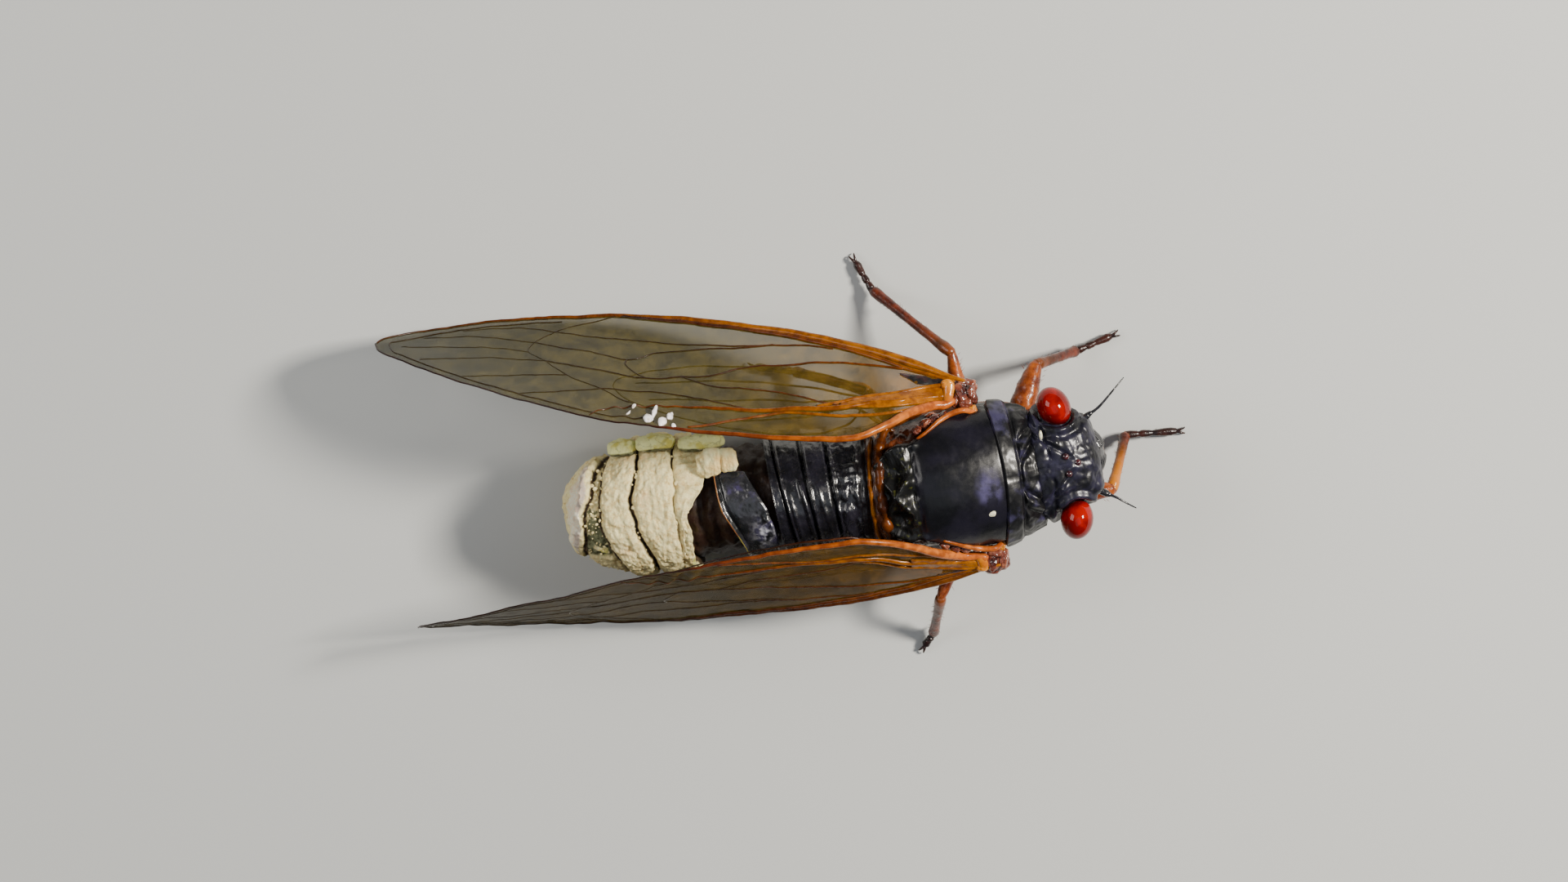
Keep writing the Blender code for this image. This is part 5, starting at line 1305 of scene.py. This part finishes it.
def build_membrane(name):
    """The thin clear skin of one forewing."""
    count, rows = FOREWING_GRID
    u = WING_LENGTH * (1 - np.cos(np.pi * np.linspace(0.02, 1, count))) / 2
    front, inner = wing_edge(u)
    t = np.linspace(0, 1, rows)
    v = front[:, None] + (inner - front)[:, None] * t[None]
    u = np.repeat(u[:, None], rows, axis=1)
    mid = wing_point(u, v, name) + wing_normal(u, v, name) * ripple(u, v, name)[..., None]
    n = wing_normal(u, v, name) * MEMBRANE_HALF
    share = (u / WING_LENGTH).ravel()
    skin = (*plate_mesh(mid + n, mid - n), np.concatenate([share, share]))
    make_piece("membrane_" + name, skin, "membrane_" + name, "forewing_" + name)


def build_veins(name):
    """A forewing's net of veins, its front cord and the fine vein along its border."""
    parts = []
    for key, line in WING_VEINS.items():
        path, at = on_wing(line, name)
        base = VEIN_RADIUS.get(key, FINE_VEIN_RADIUS)
        main = key in MAIN_VEINS
        radii = base * (1 - 0.62 * np.clip(at, 0, None) / WING_LENGTH)
        if key == "cubitus":
            radii *= np.interp(at, (8, 13, 15, 20), (1.0, 0.8, 0.5, 0.4))
        if key == "subcosta":
            radii *= np.interp(at, (-1, 2, 4), (0.5, 0.8, 1.0))
        radii *= 1 + 0.1 * rough(path, 1.2, 2, 3.0)
        tone = np.clip(at, 0, None) / WING_LENGTH * (1.0 if main else 1.2) + (0.0 if main else 0.26)
        if key == "subcosta":
            tone = tone + 0.2
        parts.append(tube(path, np.maximum(radii, 0.03), 10, value=tone))
    edge = [(-1.5, 0.3), (-0.6, 0.18)] + [tuple(q) for q in FRONT_LINE[::2] if q[0] > 0.6]
    path, at = on_wing(edge, name, step=0.25)
    costa = np.interp(at, (-1.5, 0, 1.5, 4, 12, 20, 28, 33), (0.1, 0.2, 0.3, 0.27, 0.2, 0.13, 0.08, 0.06))
    # The right wing's costa is thinner and darker, faster towards its tip: painted shade on the side that
    # faces away from the key lamp.
    dim = 0.0 if name == "left" else 0.24
    value = np.clip(at, 0, None) / WING_LENGTH * (0.62 if name == "left" else 1.0) + dim * rise(at, -0.5, 2.0)
    parts.append(tube(path, costa * (1 - dim), 14, value=value))
    ambient = []
    for line, sign, start in ((FRONT_LINE, 1, 22.0), (INNER_LINE, -1, 16.5)):
        run = np.gradient(line, axis=0)
        run /= np.linalg.norm(run, axis=1)[:, None]
        inward = np.stack([-run[:, 1], run[:, 0]], axis=1) * sign
        ambient.append([tuple(q) for q in (line + inward * 0.65) if q[0] > start and q[0] < 32.2][::4])
    path, at = on_wing(ambient[0] + ambient[1][::-1], name)
    parts.append(tube(path, np.full(len(at), 0.045), 8, value=np.full(len(at), 0.85)))
    make_piece("veins_" + name, parts, "vein")


def build_inner_cord(name):
    """The cord along a forewing's inner edge."""
    edge = [(-0.75, 2.1), (-0.3, 2.55)] + [tuple(q) for q in INNER_LINE[::2] if q[0] > 0.3]
    path, at = on_wing(edge, name, step=0.25)
    radii = (0.2, 0.27, 0.27, 0.2, 0.15, 0.1, 0.05, 0.045, 0.055)
    cord = np.interp(at, (-0.8, 0, 1.5, 4, 8, 15, 17, 26, 33), radii)
    tone = np.interp(at, (0, 2, 5, 10, 15.5, 17, 33), (0.0, 0.1, 0.2, 0.3, 0.42, 0.65, 0.8))
    make_piece("inner_cord_" + name, tube(path, cord, 14, value=tone), "cord")


def build_glint_folds(name):
    """The folds, painted near white as glints, which only the left wing has."""
    folds = []
    for line, wide in WING_GLINT_FOLDS if name == "left" else ():
        path, at = on_wing(line, name, 0.05, 0.05)
        swell = np.sin(np.pi * np.linspace(0.06, 0.94, len(path))) ** 0.6
        swell = swell * (1 + 0.5 * rough(path, 2.6, 3, 38.0))
        folds.append(tube(path, 0.02 + wide * swell, 18, 0.6))
    if folds:
        make_piece("folds_" + name, folds, "fold")


def build_cells(name):
    """The amber cell and the dark root cell of one forewing, whose darkness is partly its own and partly
    painted shade.
    """
    def sheet(low, high, start, end, bulge, seed):
        at = np.linspace(start, end, 60)
        low, high = (np.interp(at, *zip(*side))[:, None] for side in (low, high))
        t = np.linspace(0, 1, 22)[None]
        v, u = low + (high - low) * t, np.repeat(at[:, None], 22, axis=1)
        base, n = wing_point(u, v, name), wing_normal(u, v, name)
        swell = bulge * (0.5 + 0.5 * np.sin(np.pi * t)) + 0.04 * rough(base, 1.8, 3, seed)
        n = n * swell[..., None]
        return *plate_mesh(base + n, base - n), np.concatenate([(u / 60).ravel()] * 2)

    make_piece("amber_cell_" + name, sheet(*AMBER_CELL, AMBER_END[name], 0.14, 5.0), "vein")
    make_piece("root_cell_and_shade_" + name, sheet(*ROOT_CELL_AND_SHADE, 0.05, 6.0), "root_cell_and_shade")


def build_hinge(name):
    """Amber bar, brown plates and the cords that tie a forewing to the thorax."""
    s = 1 if name == "left" else -1

    def at_root(u, v, lift=0.0):
        u, v = np.array(float(u)), np.array(float(v))
        return wing_point(u, v, name) + wing_normal(u, v, name) * lift

    bar = spaced([at_root(-0.62, 0.75), at_root(-0.55, 1.5), at_root(-0.45, 2.35)], 0.06)
    parts = [tube(bar, 0.3 + 0.05 * rough(bar, 1.6, 3, s), 22, 0.8, np.ones(len(bar)))]
    parts.append(blob(at_root(-0.5, 0.85), (0.34, 0.3, 0.26), 0, 36, 24, 0.8, 0.12, 2.0 + s, 1.0))
    mid = np.array(HINGE_MIDDLE[name])
    for dx, dy, dz, rx, ry, rz, tone in HINGE_PLATES:
        centre = mid + np.array((dx, s * dy, dz))
        parts.append(blob(centre, (rx, ry, rz), s * 12.0, 48, 32, 0.8, 0.2, 10 * dx + s, tone))
    make_piece("hinge_" + name, parts, "hinge")

    shift = mid - np.array((1.3, s * 5.0, 8.0))

    def beside(x, y, lift):
        return on_back(x + shift[0] * 0.7, s * y, lift)

    cord = spaced([mid + np.array((0.5, -s * 0.95, 0.5))] + [beside(*q) for q in HINGE_CORD], 0.08)
    share = np.linspace(0, 1, len(cord))
    radii = np.interp(share, (0, 0.3, 1), (0.15, 0.17, 0.09))
    tone = np.interp(share, (0, 0.4, 1), (0.0, 0.05, 0.3))
    make_piece("cords_" + name, tube(cord, radii, 14, value=tone), "cord")
    band = spaced([at_root(0.9, 3.0, -0.1)] + [beside(*q) for q in HINGE_BAND], 0.08)
    share = np.linspace(0, 1, len(band))
    radii = (1 + 0.2 * rough(band, 1.5, 3, 8.0)) * np.interp(share, (0, 0.4, 1), (0.22, 0.3, 0.2))
    tone = np.interp(share, (0, 0.5, 1), (0.36, 0.48, 0.52))
    make_piece("band_" + name, tube(band, radii, 16, value=tone), "vein")
    pads = []
    for k, (px, py, r) in enumerate(HINGE_PADS):
        centre = beside(px, py, -0.12)
        pads.append(blob(centre, (r, r * 0.75, r), 30 * s, 32, 20, 0.85, 0.25, 7 + k + s, 0.0))
    make_piece("pads_" + name, pads, "hinge")


def build_hindwing(name):
    """The smaller wing folded inside the forewing, with its own veins and root."""
    outline = spaced(HINDWING_OUTLINE + HINDWING_OUTLINE[:1], 0.2)
    ring = np.roll(outline[:-1], -outline[:, 0].argmin(), axis=0)
    turn = ring[:, 0].argmax()
    low, high = ring[: turn + 1], np.vstack([ring[turn:], ring[:1]])[::-1]
    count, rows = HINDWING_GRID
    u = 4.22 + (ring[:, 0].max() - 4.24) * (1 - np.cos(np.pi * np.linspace(0, 1, count))) / 2
    v0, v1 = np.interp(u, low[:, 0], low[:, 1]), np.interp(u, high[:, 0], high[:, 1])
    v = v0[:, None] + (v1 - v0)[:, None] * np.linspace(0, 1, rows)[None]
    u = np.repeat(u[:, None], rows, axis=1)

    def place(u, v, lift=0.0):
        flat = np.stack([u, v, np.full_like(u, 17.0)], axis=-1)
        height = 0.07 * rough(flat, 0.5, 3) + 0.03 * np.sin(v * 5.0) + lift - HINDWING_OFFSET
        return wing_point(u, v, name) + wing_normal(u, v, name) * height[..., None]

    skin = plate_mesh(place(u, v, 0.02), place(u, v, -0.02))
    make_piece("hind_membrane_" + name, skin, "membrane_hind", "hindwing_" + name)
    parts = []
    for line in list(HINDWING_VEINS.values()) + [outline[::3]]:
        flat = spaced(line, 0.22)
        path = place(flat[:, 0], flat[:, 1])
        parts.append(tube(path, np.interp(flat[:, 0], (4, 19), (0.07, 0.03)), 8, value=flat[:, 0] / 30 + 0.4))
    start = Vector(HINDWING_HINGE[name])
    end = Vector(tuple(place(np.array([5.4]), np.array([2.7]))[0]))
    root = spaced([start, (start + end) / 2 + Vector((0, 0, 0.1)), end], 0.1)
    parts.append(tube(root, np.linspace(0.2, 0.05, len(root)), 16, value=np.linspace(0.3, 0.45, len(root))))
    make_piece("hind_veins_" + name, parts, "vein")


def build_rear_cord():
    """The tan strip and the brown band that run round the rear of the thorax."""
    parts = []
    for x, lift, r, tone in ((-4.25, 0.03, 0.12, 0.05), (-3.66, 0.02, 0.27, 0.52)):
        path = spaced([on_back(x + ahead, y, lift) for ahead, y in REAR_CORD], 0.08)
        radii = r * (1 + 0.5 * rough(path, 1.4, 3, 6.0))
        value = tone + 0.3 * rough(path, 1.3, 3, 7.0 + r)
        parts.append(tube(path, np.maximum(radii, 0.05), 14, value=np.clip(value, 0.0, 0.7)))
    make_piece("rear_cord", parts, "vein")


# Stage, light and camera

def build_stage():
    mesh = bpy.data.meshes.new("floor")
    corners = ((-1, -1), (1, -1), (1, 1), (-1, 1))
    mesh.from_pydata([(x, y, FLOOR_Z) for x, y in corners], [], [(0, 1, 2, 3)])
    floor = bpy.data.objects.new("floor", mesh)
    bpy.context.scene.collection.objects.link(floor)
    pale = Surface("floor_pale", None, Roughness=0.9, Base_Color=(0.54, 0.55, 0.54, 1.0))
    mesh.materials.append(pale.material)
    for name, place, size, power, colour in (
        ("key", (0.21, 0.055, 0.19), 0.05, 1.65, (1.0, 0.94, 0.84)),
        ("sky", (0.02, -0.05, 0.35), 0.3, 0.16, (0.8, 0.88, 1.0)),
        ("rim", (-0.22, 0.1, 0.2), 0.16, 0.42, (1.0, 0.96, 0.92)),
    ):
        lamp = bpy.data.lights.new(name, "AREA")
        lamp.size, lamp.energy, lamp.color = size, power, colour
        obj = bpy.data.objects.new(name, lamp)
        obj.location = place
        obj.rotation_euler = (-Vector(place)).to_track_quat("-Z", "Y").to_euler()
        bpy.context.scene.collection.objects.link(obj)
    world = bpy.data.worlds.new("pale")
    world.use_nodes = True
    background = world.node_tree.nodes["Background"]
    background.inputs["Color"].default_value = (0.82, 0.88, 0.95, 1.0)
    background.inputs["Strength"].default_value = 0.15
    bpy.context.scene.world = world


def build_camera():
    lean_x, lean_y = CAMERA_LEAN
    back = Vector((lean_x, lean_y, math.sqrt(1 - lean_x**2 - lean_y**2)))
    place = CAMERA_AIM + back * CAMERA_DISTANCE
    right = (-back).cross(Vector((0, 1, 0))).normalized()
    up = right.cross(-back)
    c, s = math.cos(CAMERA_ROLL), math.sin(CAMERA_ROLL)
    camera = bpy.data.cameras.new("photo_view")
    camera.lens, camera.sensor_width = 100, 36
    camera.clip_start, camera.clip_end = 0.01, 10
    obj = bpy.data.objects.new("photo_view", camera)
    matrix = Matrix((right * c + up * s, -right * s + up * c, back)).transposed().to_4x4()
    matrix.translation = (place - Vector(CENTRE)) * MM
    obj.matrix_world = matrix
    bpy.context.scene.collection.objects.link(obj)
    bpy.context.scene.camera = obj


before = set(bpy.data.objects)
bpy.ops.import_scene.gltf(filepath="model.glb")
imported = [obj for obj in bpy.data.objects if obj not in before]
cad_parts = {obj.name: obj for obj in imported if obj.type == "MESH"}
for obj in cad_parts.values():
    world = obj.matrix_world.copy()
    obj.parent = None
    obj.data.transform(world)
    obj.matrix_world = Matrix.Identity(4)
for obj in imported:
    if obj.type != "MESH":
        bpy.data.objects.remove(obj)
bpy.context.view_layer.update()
build_camera()
build_stage()
make_shells()
make_eye_surfaces()
make_wing_surfaces()
make_flesh_surfaces()
build_head()
build_eyes()
build_face()
build_beak()
build_feelers()
build_pronotum()
build_mesonotum()
build_waist()
build_segments()
build_stump()
build_loose_plate()
build_plug()
build_lobes()
build_tab()
build_crumbs()
for number, (leg, joints) in enumerate(LEGS.items()):
    hip, knee, ankle, toe = (Vector(q) for q in joints)
    build_thigh(leg, number, hip, knee)
    build_shin(leg, number, knee, ankle)
    build_foot(leg, number, ankle, toe)
for wing in ("left", "right"):
    build_membrane(wing)
    build_veins(wing)
    build_inner_cord(wing)
    build_glint_folds(wing)
    build_cells(wing)
    build_hinge(wing)
    build_hindwing(wing)
build_rear_cord()
spots = ((on_back(2.2, -1.75, 0.02), (0.24, 0.2, 0.12)), ((5.41, 2.51, 9.25), (0.1, 0.26, 0.1)))
make_piece("pale_spots", [blob(centre, radii, bumps=0.1) for centre, radii in spots], "spore")
